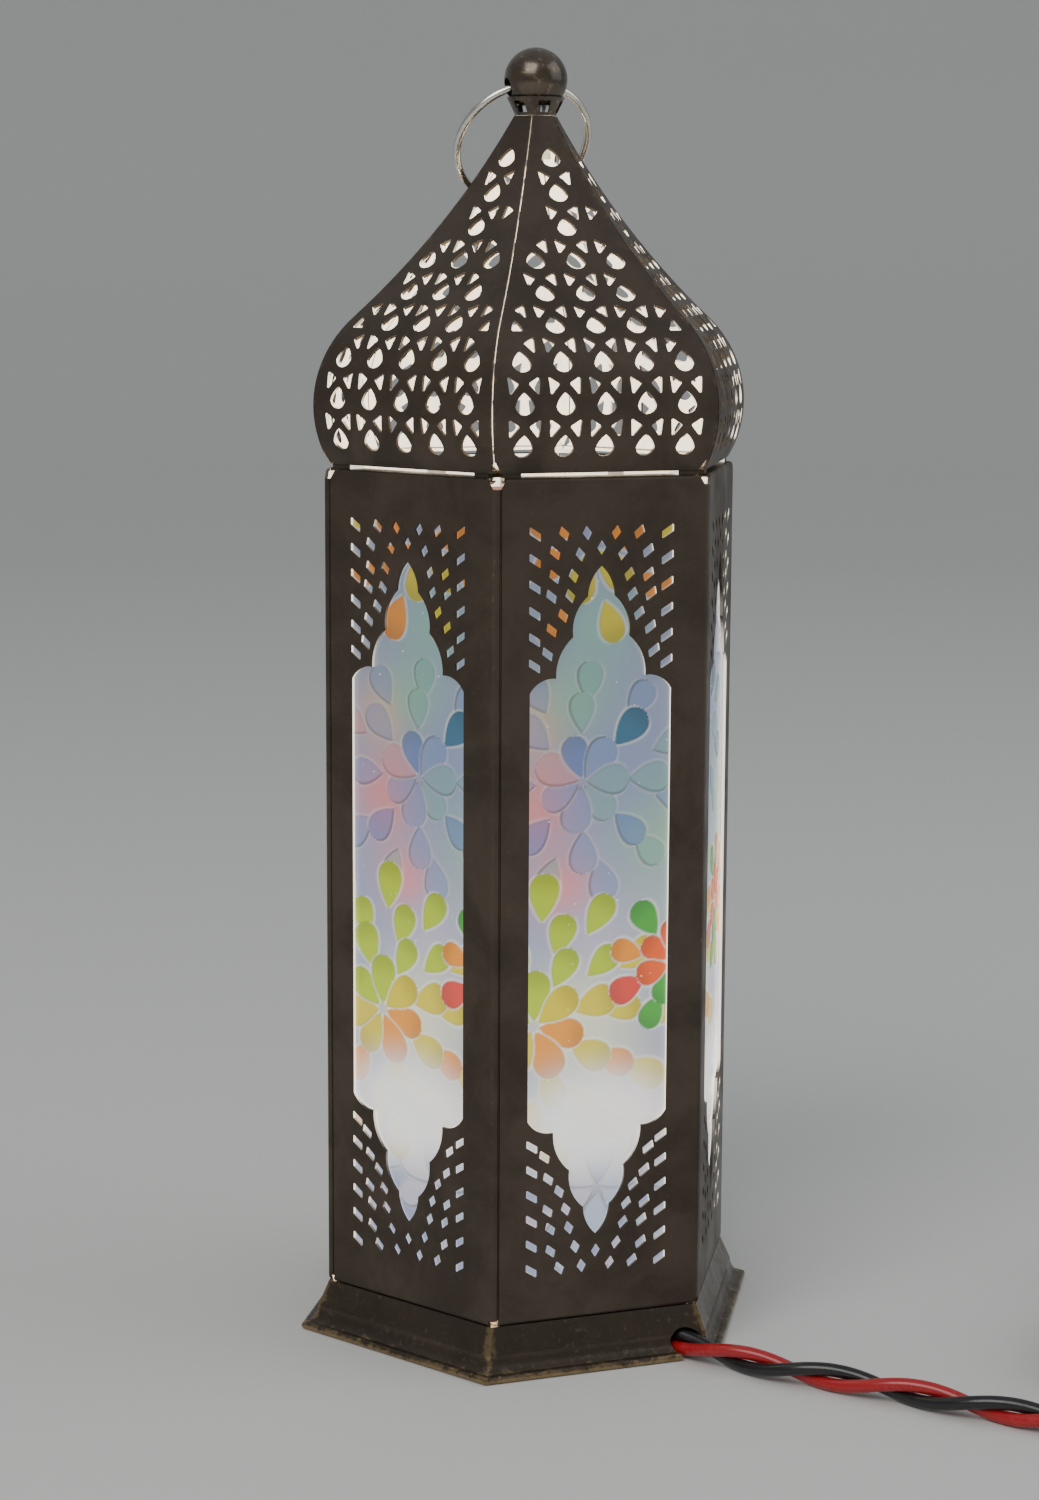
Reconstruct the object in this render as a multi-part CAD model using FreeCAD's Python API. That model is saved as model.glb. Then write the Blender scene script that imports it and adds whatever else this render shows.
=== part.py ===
import FreeCAD, Part
import math
import os

# Six-sided pierced-metal table lantern with an electric lamp, in millimetres.
# Frame: +Z up, origin on the floor at the middle of the base, front face towards -Y.
# The hexagon's corners lie on +X and -X. A face's local axes are u along the face,
# v outwards from the lantern's axis, and z upwards.

os.makedirs("parts", exist_ok=True)
V = FreeCAD.Vector
UP = V(0, 0, 1)
SIDES = 6
STEP = 360.0 / SIDES
HALF = math.radians(STEP / 2)
FACE_NAMES = ("front", "front_right", "back_right", "back", "back_left", "front_left")

# ---- driving dimensions ----------------------------------------------------
body_circumradius = 43.5     # over the corners of the six-sided body
body_height = 164.6          # pierced body, between skirt and dome
sheet = 0.6                  # panels and petals
flange_depth = 5.6           # folded edges of the panels, from their outer face
flange_bend = 0.8            # outer radius of those folds
fit_gap = 0.05               # between metal parts that touch
corner_bend = 1.2            # outer radius of the body's vertical corners
corner_flat = 0.5            # flush strip beyond the corner bend
lap_width = 3.0              # hidden lap behind the next panel
joggle_turn = math.radians(60)
corner_notch_top = 2.0       # relief at the panel's top corners
corner_notch_low = 1.2

skirt_height = 9.8
skirt_flare = 5.1            # how far the lip stands out from the body's face
skirt_sheet = 0.6
skirt_lip = 1.6              # height of the rolled lip
ledge_width = 11.0           # skirt's inward ledge that carries the body
tongue_height = 6.0          # upright tongues that locate the body
tongue_width = 10.0
tongue_clear = 0.35

window_side_border = 7.35    # solid metal beside a window, from the face's corner
window_end_border = 16.7     # above a window's upper tip and below its lower one
cusp_rise = 23.9             # height of the stepped, pointed end of a window
diamond_width = 2.0          # lozenges round the window ends
diamond_height = 3.04
diamond_rise = 6.2           # top row of lozenges above the window's tip
diamond_inset = 1.0          # outer lozenges inside the window's straight sides
pane_thickness = 1.6
pane_side_border = 5.55      # pane's edge from the face's corner
pane_end_border = 7.1        # pane's end from the body's end
pane_gap = 0.15              # pane to panel
tab_width = 4.0              # strips that hold a pane's ends
tab_sheet = 0.4
tab_reach = 2.0              # over the pane's end
tab_foot = 4.0               # soldered to the panel

dome_slit = 0.85             # open slit between body and dome
dome_bulge_radius = 24.0
dome_widest_out = 1.85       # dome's widest face outside the body's face
dome_widest_up = 11.25       # widest place above the dome's rim
dome_height = 67.15          # rim to neck
neck_apothem = 3.9
neck_slope = math.radians(62.4)   # the hollow curve's slope at the neck
rim_flange = 5.0
rim_rivet_inset = 3.3        # rivets' axis behind the body's face
rim_rivet_border = 4.15      # rivets' axis from the face's corner
seam_gap = 0.24              # slit between neighbouring petals

drop_width = 3.8
drop_height = 4.25
pattern_side_border = 4.9    # outer column of drops from the rim's corner
pattern_top_border = 9.3     # last drop from the neck, along the petal
first_row = 5.5              # first row of drops, along the petal from the rim
nib_width = 2.4
nib_height = 3.9

ball_radius = 6.2
ball_lift = 7.0              # ball's centre above the neck
ring_hole_drop = 1.5         # cross hole below the ball's centre
ring_hole_radius = 1.75
ring_wire = 0.8              # radius of the ring's wire
ring_radius = 13.5           # to the wire's middle
ring_clear = 0.3             # ring to dome at rest

cap_radius = 6.95            # E14 cap over its thread
cap_height = 16.0
liner_wall = 0.9
holder_wall = 4.4            # from the liner out to the holder's side
holder_height = 19.0
bulb_radius = 14.0
bulb_lift = 17.5             # bulb's middle above the cap

core_diameter = 2.7          # one insulated wire; two of them twisted make the lead
coil_mid_radius = 29.0
coil_centre = V(119.1, -84.7, 0)

# ---- sizes that follow from them ------------------------------------------
face_out = body_circumradius * math.cos(HALF)     # body's outer apothem
side = body_circumradius                          # a hexagon's side is its circumradius
lead_diameter = 2 * core_diameter
body_low = skirt_height
body_top = body_low + body_height
body_mid = (body_low + body_top) / 2
rim_z = body_top + dome_slit
bulge_c = (face_out + dome_widest_out - dome_bulge_radius, rim_z + dome_widest_up)
window_half_width = side / 2 - window_side_border
window_tip = body_height / 2 - window_end_border  # above the body's middle height
pane_half_width = side / 2 - pane_side_border
pane_half_height = body_height / 2 - pane_end_border
neck_z = rim_z + dome_height
ball_z = neck_z + ball_lift
hole_z = ball_z - ring_hole_drop


def at(u, v, z):
    """Point from the front face's own axes."""
    return V(u, -v, z)


def in_face(v):
    """Places a (u, z) pair on the upright plane at distance v from the axis."""
    return lambda p: at(p[0], v, p[1])


def in_section(u):
    """Places a (v, z) pair on the section plane at u."""
    return lambda p: at(u, p[0], p[1])


def in_plan(z):
    """Places a (u, v) pair on the level plane at height z."""
    return lambda p: at(p[0], p[1], z)


def pair(point):
    return (point.x, point.y)


def wire_of(points, place):
    """Closed wire: a pair is a corner, a pair of pairs is an arc's middle and end."""
    edges = []
    here = points[0]
    for item in list(points[1:]) + [points[0]]:
        if isinstance(item[0], tuple):
            middle, end = item
            edges.append(Part.Arc(place(here), place(middle), place(end)).toShape())
        else:
            end = item
            if place(here).distanceToPoint(place(end)) > 1e-6:
                edges.append(Part.LineSegment(place(here), place(end)).toShape())
        here = end
    return Part.Wire(edges)


def prism(points, place, direction):
    return Part.Face(wire_of(points, place)).extrude(direction)


def rounded(corners, radius):
    """Outline whose corners are rounded: each corner becomes an entry point and an arc."""
    out = []
    count = len(corners)
    for i in range(count):
        here = V(*corners[i], 0)
        back = (V(*corners[i - 1], 0) - here).normalize()
        ahead = (V(*corners[(i + 1) % count], 0) - here).normalize()
        half = back.getAngle(ahead) / 2
        run = radius / math.tan(half)
        bisector = (back + ahead).normalize()
        centre = here + bisector * (radius / math.sin(half))
        middle = centre - bisector * radius
        enter = here + back * run
        leave = here + ahead * run
        out.append((enter.x, enter.y))
        out.append(((middle.x, middle.y), (leave.x, leave.y)))
    return out


def turned(shape, k):
    copy = shape.copy()
    copy.rotate(V(0, 0, 0), UP, STEP * k)
    return copy


def disc(radius, height, centre, axis=UP):
    return Part.makeCylinder(radius, height, centre, axis)


def block(size, corner):
    return Part.makeBox(size[0], size[1], size[2], V(*corner))


def lathe(points, centre=V(0, 0, 0)):
    """Solid turned about Z from an (r, z) outline."""
    face = Part.Face(wire_of(points, lambda p: V(p[0], 0, p[1])))
    solid = face.revolve(V(0, 0, 0), UP, 360)
    solid.translate(centre)
    return solid


def one_solid(shape):
    joined = shape.removeSplitter()
    solids = joined.Solids
    assert len(solids) == 1, len(solids)
    return solids[0]


def save(name, shape):
    assert shape.isValid(), name
    shape.exportStep("parts/" + name + ".step")


def save_group(name, solids):
    save(name, Part.makeCompound(solids))


def save_around(prefix, shape):
    """The same piece on each of the six faces."""
    for k in range(SIDES):
        save(prefix + FACE_NAMES[k], turned(shape, k))


def around(shape):
    return [turned(shape, k) for k in range(SIDES)]


# ---- body panels -----------------------------------------------------------
bend_run = corner_bend * math.tan(HALF)
joggle_depth = sheet + fit_gap
joggle_run = joggle_depth / math.tan(joggle_turn)
panel_right = side / 2 - bend_run
panel_left = -side / 2 + bend_run + corner_flat + joggle_run + 2 * fit_gap
rivet_u = side / 2 - rim_rivet_border
rivet_v = face_out - rim_rivet_inset
rivet_hole = 0.8


def folded_section():
    """Face with both edges folded inwards, in (v, z)."""
    o = face_out
    b = flange_bend
    k = b * math.sin(math.radians(45))
    i = b - sheet
    j = i * math.sin(math.radians(45))
    lo = body_low
    hi = body_top
    tip = o - flange_depth
    return [
        (o, lo + b), (o, hi - b), ((o - b + k, hi - b + k), (o - b, hi)),
        (tip, hi), (tip, hi - sheet), (o - b, hi - sheet),
        ((o - b + j, hi - b + j), (o - sheet, hi - b)), (o - sheet, lo + b),
        ((o - b + j, lo + b - j), (o - b, lo + sheet)), (tip, lo + sheet),
        (tip, lo), (o - b, lo), ((o - b + k, lo + b - k), (o, lo + b)),
    ]


def corner_section():
    """Corner bend, flush strip, joggle and hidden lap, in (u, v)."""
    along = V(math.cos(2 * HALF), -math.sin(2 * HALF), 0)
    inward = V(-math.sin(2 * HALF), -math.cos(2 * HALF), 0)
    corner = V(side / 2, face_out, 0)
    centre = V(panel_right, face_out - corner_bend, 0)
    middle = V(math.sin(HALF), math.cos(HALF), 0)
    step_back = along * (-sheet * math.tan(joggle_turn / 2))
    a2 = corner + along * bend_run
    a3 = a2 + along * corner_flat
    a4 = a3 + along * joggle_run + inward * joggle_depth
    a5 = a4 + along * lap_width
    b5 = a5 + inward * sheet
    b4 = a4 + inward * sheet + step_back
    b3 = a3 + inward * sheet + step_back
    b2 = a2 + inward * sheet
    outer_mid = centre + middle * corner_bend
    inner_mid = centre + middle * (corner_bend - sheet)
    return [
        (panel_right, face_out), (pair(outer_mid), pair(a2)), pair(a3), pair(a4), pair(a5),
        pair(b5), pair(b4), pair(b3), pair(b2),
        (pair(inner_mid), (panel_right, face_out - sheet)),
    ]


# Right half of a window's upper end, from its tip down to its straight side: each stop ends a
# rounded step that bulges through the bend before it. Across, in shares of the half width;
# down, in millimetres from the tip.
WINDOW_STEPS = (
    ((0.163, 3.4), (0.194, 5.8)),
    ((0.347, 8.6), (0.396, 13.4)),
    ((0.5625, 16.4), (0.632, 21.2)),
    ((0.854, 21.8), (1.0, cusp_rise)),
)


def window_quarter(across, up):
    """The steps of one quarter of the window, from its tip to its side: bends and stops."""
    bends = []
    stops = [(0, body_mid + up * window_tip)]
    for (bend_share, bend_down), (stop_share, stop_down) in WINDOW_STEPS:
        bends.append((across * bend_share * window_half_width,
                      body_mid + up * (window_tip - bend_down)))
        stops.append((across * stop_share * window_half_width,
                      body_mid + up * (window_tip - stop_down)))
    return bends, stops


def window_outline():
    """Pointed, stepped window, the same above and below the middle, in (u, z)."""
    outline = [(0, body_mid + window_tip)]
    for across in (1, -1):
        # Away from a tip to the side, then on from the side to the other tip.
        bends, stops = window_quarter(across, across)
        outline += list(zip(bends, stops[1:]))
        bends, stops = window_quarter(across, -across)
        outline.append(stops[-1])
        outline += list(zip(reversed(bends), reversed(stops[:-1])))
    return outline


def diamond(u, h):
    """Skewed lozenge at u and h above the middle: upright at the centre, leaning at the sides."""
    lean = max(-1.0, min(1.0, u / (window_half_width - diamond_inset)))
    w = diamond_width / 2 * (1 + 0.2 * abs(lean))
    a = diamond_height / 2
    z = body_mid + h
    corners = [(u + lean * w, z + a), (u + w, z), (u - lean * w, z - a), (u - w, z)]
    return rounded(corners, 0.2)


# Lozenges between the window and the outer column: across in shares of the half width, and
# down in millimetres from the top row.
DIAMOND_SPOTS = (
    (0.205, 0), (0.528, 0), (0.299, 4.0), (0.653, 3.6), (0.392, 8.0), (0.66, 8.1),
    (0.4375, 11.8), (0.70, 11.8), (0.535, 15.5), (0.694, 18.2), (0.75, 22.7),
)
outer_diamonds = 6
outer_pitch = 4.98


def diamond_places():
    """Right-hand half of the piercing around one window end: (u, height below its top row)."""
    edge = window_half_width - diamond_inset
    outer = [(edge, outer_pitch * k) for k in range(outer_diamonds)]
    return outer + [(share * window_half_width, down) for share, down in DIAMOND_SPOTS]


flange_relief = 1.6          # folded edges end this far before the corner's mitre
notch_width = 1.3


def corner_cutters(hand):
    """What is cut away at one side's ends: the flanges' mitre, the top notch, the rivet hole."""
    slope = math.tan(HALF)
    inner_v = face_out - flange_depth - 1
    root_v = face_out - sheet - 0.2
    mitre = [(hand * (inner_v * slope - flange_relief), inner_v),
             (hand * (root_v * slope - flange_relief), root_v),
             (hand * side, root_v), (hand * side, inner_v)]
    end = panel_right if hand > 0 else -panel_left
    notch = [(hand * (end - notch_width), body_top + 1), (hand * (end - notch_width), body_top),
             (hand * end, body_top - corner_notch_top),
             (hand * (end + 1), body_top - corner_notch_top),
             (hand * (end + 1), body_top + 1)]
    return [prism(mitre, in_plan(body_low - 1), V(0, 0, body_height + 2)),
            prism(notch, in_face(face_out + 1), V(0, 2 * flange_depth, 0)),
            disc(rivet_hole, 3, at(hand * rivet_u, rivet_v, body_top - 2))]


def panel():
    """Pierced sheet with folded ends, one bent side and one plain side."""
    plate = prism(folded_section(), in_section(panel_left), V(panel_right - panel_left, 0, 0))
    plate = plate.cut(Part.makeCompound(corner_cutters(-1) + corner_cutters(1)))
    low = body_low + corner_notch_low
    high = body_top - corner_notch_top
    strip = prism(corner_section(), in_plan(low), V(0, 0, high - low))
    blank = one_solid(plate.fuse(strip))
    inwards = V(0, 4, 0)
    place = in_face(face_out + 2)
    holes = [prism(window_outline(), place, inwards)]
    top_row = window_tip + diamond_rise
    for end in (-1, 1):
        middle_row = end * (top_row - 2.8)
        holes.append(prism(diamond(0, middle_row), place, inwards))
        for u, down in diamond_places():
            for hand in (-1, 1):
                h = end * (top_row - down)
                holes.append(prism(diamond(hand * u, h), place, inwards))
    return one_solid(blank.cut(Part.makeCompound(holes)))


# ---- coloured panes and their tabs -----------------------------------------
pane_out = face_out - sheet - pane_gap
pane_in = pane_out - pane_thickness


def pane():
    height = 2 * pane_half_height
    corner = (-pane_half_width, -pane_out, body_mid - pane_half_height)
    return block((2 * pane_half_width, pane_thickness, height), corner)


def pane_tab(u, end):
    """Bent strip soldered to the panel, hooked over the pane's end."""
    edge = pane_half_height + fit_gap
    back = pane_in - fit_gap
    wall = face_out - sheet
    t = tab_sheet
    outline = [(wall, edge + tab_foot), (wall, edge), (back, edge), (back, edge - tab_reach),
               (back - t, edge - tab_reach), (back - t, edge + t), (wall - t, edge + t),
               (wall - t, edge + tab_foot)]
    standing = [(v, body_mid + end * z) for v, z in outline]
    return prism(standing, in_section(u - tab_width / 2), V(tab_width, 0, 0))


def pane_tabs():
    tabs = []
    for end in (-1, 1):
        for hand in (-1, 1):
            tabs += around(pane_tab(hand * pane_half_width / 2, end))
    return tabs


# ---- dome ------------------------------------------------------------------
def bulge_point(turn):
    """Point (v, z) of the bulge where it slopes at the given turn from level."""
    return (bulge_c[0] + dome_bulge_radius * math.sin(turn),
            bulge_c[1] + dome_bulge_radius * math.cos(turn))


def chord_slope(turn):
    """Slope of the straight line from that point of the bulge to the neck."""
    v, z = bulge_point(turn)
    return math.atan2(neck_z - z, v - neck_apothem)


def junction_turn():
    """Slope where the bulge runs smoothly into one hollow arc that ends at the neck's slope."""
    low, high = math.radians(5), neck_slope
    for _ in range(50):
        turn = (low + high) / 2
        if chord_slope(turn) > (turn + neck_slope) / 2:
            low = turn
        else:
            high = turn
    return turn


dome_turn = junction_turn()
junction = bulge_point(dome_turn)
chord = math.hypot(junction[0] - neck_apothem, neck_z - junction[1])
hollow_half = (neck_slope - dome_turn) / 2
hollow_radius = chord / (2 * math.sin(hollow_half))
hollow_c = (junction[0] + hollow_radius * math.sin(dome_turn),
            junction[1] + hollow_radius * math.cos(dome_turn))
rim_angle = math.asin(dome_widest_up / dome_bulge_radius)
rim_face = bulge_c[0] + dome_bulge_radius * math.cos(rim_angle)
bulge_length = dome_bulge_radius * (math.pi / 2 - dome_turn + rim_angle)
petal_length = bulge_length + hollow_radius * 2 * hollow_half


def on_bulge(angle, radius):
    return (bulge_c[0] + radius * math.cos(angle), bulge_c[1] + radius * math.sin(angle))


def on_hollow(turn, radius):
    """Point of the hollow curve where it slopes at the given turn from level."""
    return (hollow_c[0] - radius * math.sin(turn), hollow_c[1] - radius * math.cos(turn))


def hollow_inside(z):
    """Apothem of the petals' inner face at height z on the hollow curve."""
    r = hollow_radius + sheet
    return hollow_c[0] - math.sqrt(r * r - (hollow_c[1] - z) ** 2)


def petal_section():
    bulge_end = math.pi / 2 - dome_turn
    neck_turn = dome_turn + 2 * hollow_half
    mid_turn = dome_turn + hollow_half
    inner = dome_bulge_radius - sheet
    under = rim_z + sheet
    inner_start = math.asin((under - bulge_c[1]) / inner)
    outer_mid = (bulge_end - rim_angle) / 2
    inner_mid = (bulge_end + inner_start) / 2
    return [
        (rim_face, rim_z),
        (on_bulge(outer_mid, dome_bulge_radius), on_bulge(bulge_end, dome_bulge_radius)),
        (on_hollow(mid_turn, hollow_radius), on_hollow(neck_turn, hollow_radius)),
        on_hollow(neck_turn, hollow_radius + sheet),
        (on_hollow(mid_turn, hollow_radius + sheet), on_hollow(dome_turn, hollow_radius + sheet)),
        (on_bulge(inner_mid, inner), on_bulge(inner_start, inner)),
        (rim_face - rim_flange, under), (rim_face - rim_flange, rim_z),
    ]


def petal_point(along):
    """Point (v, z), and the outward normal, at a length along the petal from its rim."""
    if along <= bulge_length:
        angle = along / dome_bulge_radius - rim_angle
        return on_bulge(angle, dome_bulge_radius), (math.cos(angle), math.sin(angle))
    turn = dome_turn + (along - bulge_length) / hollow_radius
    return on_hollow(turn, hollow_radius), (math.sin(turn), math.cos(turn))


def petal_hole(outline, u, along):
    """Cutter for an outline in (across, up the petal), square to the sheet at its place."""
    (v, z), (nv, nz) = petal_point(along)
    deep = 1.6

    def place(p):
        return at(u + p[0], v - nz * p[1] + nv * deep, z + nv * p[1] + nz * deep)

    return prism(outline, place, at(0, -2 * deep * nv, -2 * deep * nz))


def drop_outline(width, height):
    """Teardrop with its point up: a round foot and two full sides."""
    w = width / 2
    h = height / 2
    belly = -0.26 * h
    return [(0, h), ((0.64 * w, 0.45 * h), (w, belly)), ((0, -h), (-w, belly)),
            ((-0.64 * w, 0.45 * h), (0, h))]


def nib_outline(hand):
    """Small rounded triangle that points at its column."""
    w = nib_width / 2
    h = nib_height / 2
    return rounded([(hand * w, h), (hand * 0.72 * w, -h), (-hand * w, 0.23 * h)], 0.3)


# Drops in each row, as columns each side of the middle, and the nibs above it,
# counted from the left: nib 4 and nib 5 flank the middle column.
DROP_COLUMNS = (2, 2, 2, 2, 1, 1, 0, 0, 0)
NIB_RANGE = ((0, 9), (0, 9), (1, 8), (1, 8), (2, 6), (3, 6), (4, 6), (4, 5))
column_pitch = (rim_face * math.tan(HALF) - pattern_side_border) / DROP_COLUMNS[0]
row_pitch = (petal_length - first_row - pattern_top_border) / (len(DROP_COLUMNS) - 1)
nib_offset = 0.254 * column_pitch
nib_rise = 0.41 * row_pitch
hole_border = 1.4            # metal between a hole and the petal's rib
small_height = 3.2           # triangle that stands in where a drop finds no room
small_width = 2.6


def half_petal(along):
    """Half the petal's width at a length from its rim."""
    return petal_point(along)[0][0] * math.tan(HALF)


def drop_cutter(column, along):
    u = column * column_pitch
    room = half_petal(along) - hole_border
    if abs(u) + drop_width / 2 < room:
        outline = drop_outline(drop_width, drop_height)
    else:
        u = math.copysign(room - small_width * 0.7, column)
        corners = [(0, small_height / 2), (small_width / 2, -small_height / 2),
                   (-small_width / 2, -small_height / 2)]
        outline = rounded(corners, 0.3)
    return petal_hole(outline, u, along)


def petal_holes():
    cutters = []
    for row, columns in enumerate(DROP_COLUMNS):
        for column in range(-columns, columns + 1):
            cutters.append(drop_cutter(column, first_row + row * row_pitch))
    for row, (first, last) in enumerate(NIB_RANGE):
        along = first_row + row * row_pitch + nib_rise
        for nib in range(first, last + 1):
            hand = 1 if nib % 2 else -1
            u = (nib // 2 - 2) * column_pitch + hand * nib_offset
            cutters.append(petal_hole(nib_outline(hand), u, along))
    return cutters


rim_notch_width = 2.0
rim_notch_height = 2.2


def wedge(shift):
    """Six-fold sector about the front face, moved outwards by the shift, in (u, v)."""
    reach = 2 * side
    return [(0, shift), (math.tan(HALF) * reach, shift + reach),
            (-math.tan(HALF) * reach, shift + reach)]


def petal():
    """Curved, pierced sheet between two ribs of the dome, with a folded rim."""
    reach = 2 * side
    bar = prism(petal_section(), in_section(-reach / 2), V(reach, 0, 0))
    shift = seam_gap / 2 / math.sin(HALF)
    sector = prism(wedge(shift), in_plan(rim_z - 5), V(0, 0, dome_height + 20))
    blank = bar.common(sector)
    cutters = petal_holes()
    edge = rim_face * math.tan(HALF)
    top = rim_z + rim_notch_height
    for hand in (-1, 1):
        notch = [(hand * (edge - rim_notch_width), rim_z - 1), (hand * (edge + 3), rim_z - 1),
                 (hand * (edge + 3), top), (hand * edge, top)]
        cutters.append(prism(notch, in_face(rim_face + 5), V(0, 12, 0)))
        cutters.append(disc(rivet_hole, 3, at(hand * rivet_u, rivet_v, rim_z - 1)))
    return one_solid(blank.cut(Part.makeCompound(cutters)))


def rivet_outline(low, high, shank, head, rise):
    """Half a rivet in (r, z): a shank between two tapered heads."""
    flat = head * 0.55
    step = rise * 0.3
    return [(0, low - rise), (flat, low - rise), (head, low - step), (head, low),
            (shank, low), (shank, high), (head, high), (head, high + step),
            (flat, high + rise), (0, high + rise)]


# ---- rim spacers and rivets ------------------------------------------------
spacer_width = 3.4
spacer_depth = 4.2
rivet_rise = 0.7


def rim_spacer(hand):
    gap = fit_gap / 2
    size = (spacer_width, spacer_depth, dome_slit - 2 * gap)
    corner = (hand * rivet_u - size[0] / 2, -rivet_v - size[1] / 2, body_top + gap)
    hole = disc(rivet_hole, 3, at(hand * rivet_u, rivet_v, body_top - 1))
    return block(size, corner).cut(hole)


def rim_rivet(hand):
    """Rivet through the body's flange, the spacer and the dome's flange."""
    low = body_top - sheet - fit_gap
    high = rim_z + sheet + fit_gap
    outline = rivet_outline(low, high, rivet_hole - fit_gap, 1.4, rivet_rise)
    return lathe(outline, at(hand * rivet_u, rivet_v, 0))


# ---- finial ----------------------------------------------------------------
stem_radius = 1.5
washer_z = neck_z - 5.0
washer_thickness = 0.8
nut_height = 2.4
nut_flats = 5.5
cup_sheet = 0.45
cup_low = neck_z + fit_gap
cup_top = ball_z - 0.55 * ball_radius
cup_window = 2.5
ball_flat = ball_radius - 1.2                     # ball's flat foot below its centre
stem_top = hole_z - ring_hole_radius - 0.5
stem_end = 1.6                                    # stem below its nut


def sphere_at(z):
    """Ball's radius at height z."""
    return math.sqrt(ball_radius ** 2 - (ball_z - z) ** 2)


def finial_ball():
    ball = Part.makeSphere(ball_radius, V(0, 0, ball_z))
    foot = disc(ball_radius * 2, ball_radius, V(0, 0, ball_z - ball_flat - ball_radius))
    hole = disc(ring_hole_radius, 4 * ball_radius, V(-2 * ball_radius, 0, hole_z), V(1, 0, 0))
    socket = disc(stem_radius, stem_top - neck_z, V(0, 0, neck_z))
    return one_solid(ball.cut(foot).cut(hole).cut(socket))


def finial_cup():
    """Small cone that carries the ball, pierced by a window over each face."""
    floor = cup_low + cup_sheet
    low_r = neck_apothem + 0.1
    top_r = sphere_at(cup_top) + fit_gap
    bore = stem_radius + fit_gap
    cup = lathe([(bore, cup_low), (low_r, cup_low), (top_r + cup_sheet, cup_top),
                 (top_r, cup_top), (low_r - cup_sheet, floor), (bore, floor)])
    size = (cup_window, 12, cup_top - floor - 0.9)
    slot = block(size, (-cup_window / 2, -12, floor + 0.15))
    return one_solid(cup.cut(Part.makeCompound(around(slot))))


def finial_stem():
    low = washer_z - washer_thickness - nut_height - stem_end
    return disc(stem_radius - fit_gap / 2, stem_top - low - fit_gap, V(0, 0, low))


def neck_washer():
    radius = hollow_inside(washer_z) - fit_gap
    outer = disc(radius, washer_thickness, V(0, 0, washer_z - washer_thickness))
    return outer.cut(disc(stem_radius + fit_gap, 10, V(0, 0, washer_z - 5)))


def hex_nut(flats, height, bore, centre):
    corner = flats / 2 / math.cos(HALF)
    points = [(corner * math.cos(i * 2 * HALF), corner * math.sin(i * 2 * HALF))
              for i in range(SIDES)]
    body = prism(points, in_plan(0), V(0, 0, height))
    body = body.cut(disc(bore, 3 * height, V(0, 0, -height)))
    body.translate(centre)
    return body


# ---- hanging ring ----------------------------------------------------------
half_ball = math.sqrt(ball_radius ** 2 - ring_hole_drop ** 2)
ring_sag = ring_radius - math.sqrt(ring_radius ** 2 - half_ball ** 2)
ring_drop = ring_radius - ring_sag / 2            # ring's middle from the hole's axis


def ring_reach(lean):
    """Furthest that the leaning ring comes towards the dome, from the hollow curve's centre."""
    furthest = 0
    for i in range(25):
        turn = math.radians(2.5 * i)
        out = ring_drop + ring_radius * math.cos(turn)
        v = out * math.sin(lean)
        z = hole_z - out * math.cos(lean)
        furthest = max(furthest, math.hypot(hollow_c[0] - v, hollow_c[1] - z))
    return furthest


def ring_rest_lean():
    """Lean from hanging straight, where the ring lies just clear of the dome's back."""
    low, high = math.radians(5), math.radians(90)
    limit = hollow_radius - ring_wire - ring_clear
    for _ in range(40):
        lean = (low + high) / 2
        if ring_reach(lean) > limit:
            low = lean
        else:
            high = lean
    return high


ring_lean = ring_rest_lean()


def hanging_ring():
    centre = V(0, ring_drop * math.sin(ring_lean), hole_z - ring_drop * math.cos(ring_lean))
    axis = V(0, math.cos(ring_lean), math.sin(ring_lean))
    return Part.makeTorus(ring_radius, ring_wire, centre, axis)


# ---- base ------------------------------------------------------------------
ledge_top = body_low - fit_gap
ledge_under = ledge_top - skirt_sheet
skirt_top_out = face_out - 0.17
lip_out = skirt_top_out + skirt_flare
plate_sheet = 0.8
plate_top = ledge_under - fit_gap
plate_under = plate_top - plate_sheet
plate_out = skirt_top_out - 2.0
base_rivet_v = face_out - flange_depth - tongue_clear - skirt_sheet - 2.3
lead_clear = 0.3


def skirt_section():
    """Sloping wall, rolled lip and ledge, in (v, z)."""
    lip = skirt_lip
    r = lip / 2
    knee = (skirt_top_out + 0.4 * skirt_flare, ledge_top * 0.48)
    heel = (lip_out - r - 0.6, lip)
    mid = ((knee[0] + heel[0]) / 2 - 0.3, (knee[1] + heel[1]) / 2 - 0.35)
    t = skirt_sheet
    return [
        (skirt_top_out, ledge_top), knee, (mid, heel), (lip_out - r, lip),
        ((lip_out, r), (lip_out - r, 0)), (heel[0] - 0.5, 0), (heel[0] - 0.5, lip - t),
        ((mid[0] - t * 0.8, mid[1] - t * 0.5), (knee[0] - t, knee[1])),
        (skirt_top_out - t, ledge_under), (skirt_top_out - ledge_width, ledge_under),
        (skirt_top_out - ledge_width, ledge_top),
    ]


def skirt_sector():
    reach = 3 * side
    bar = prism(skirt_section(), in_section(-reach / 2), V(reach, 0, 0))
    sector = prism(wedge(0), in_plan(-1), V(0, 0, skirt_height + 5))
    return bar.common(sector)


def way_out():
    """Cutter for the lead's way through the skirt: as high as the lead, with a round top."""
    r = lead_diameter / 2 + lead_clear
    start = ROUTE[1]
    way = ROUTE[3] - start
    arch = disc(r, way.Length, V(start.x, start.y, lead_diameter / 2), V(way.x, way.y, 0))
    slot = Part.makeBox(2 * r, way.Length, lead_diameter / 2 + 1, V(-r, 0, -1))
    slot.rotate(V(0, 0, 0), UP, math.degrees(math.atan2(way.y, way.x)) - 90)
    slot.translate(V(start.x, start.y, 0))
    return arch.fuse(slot)


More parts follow.
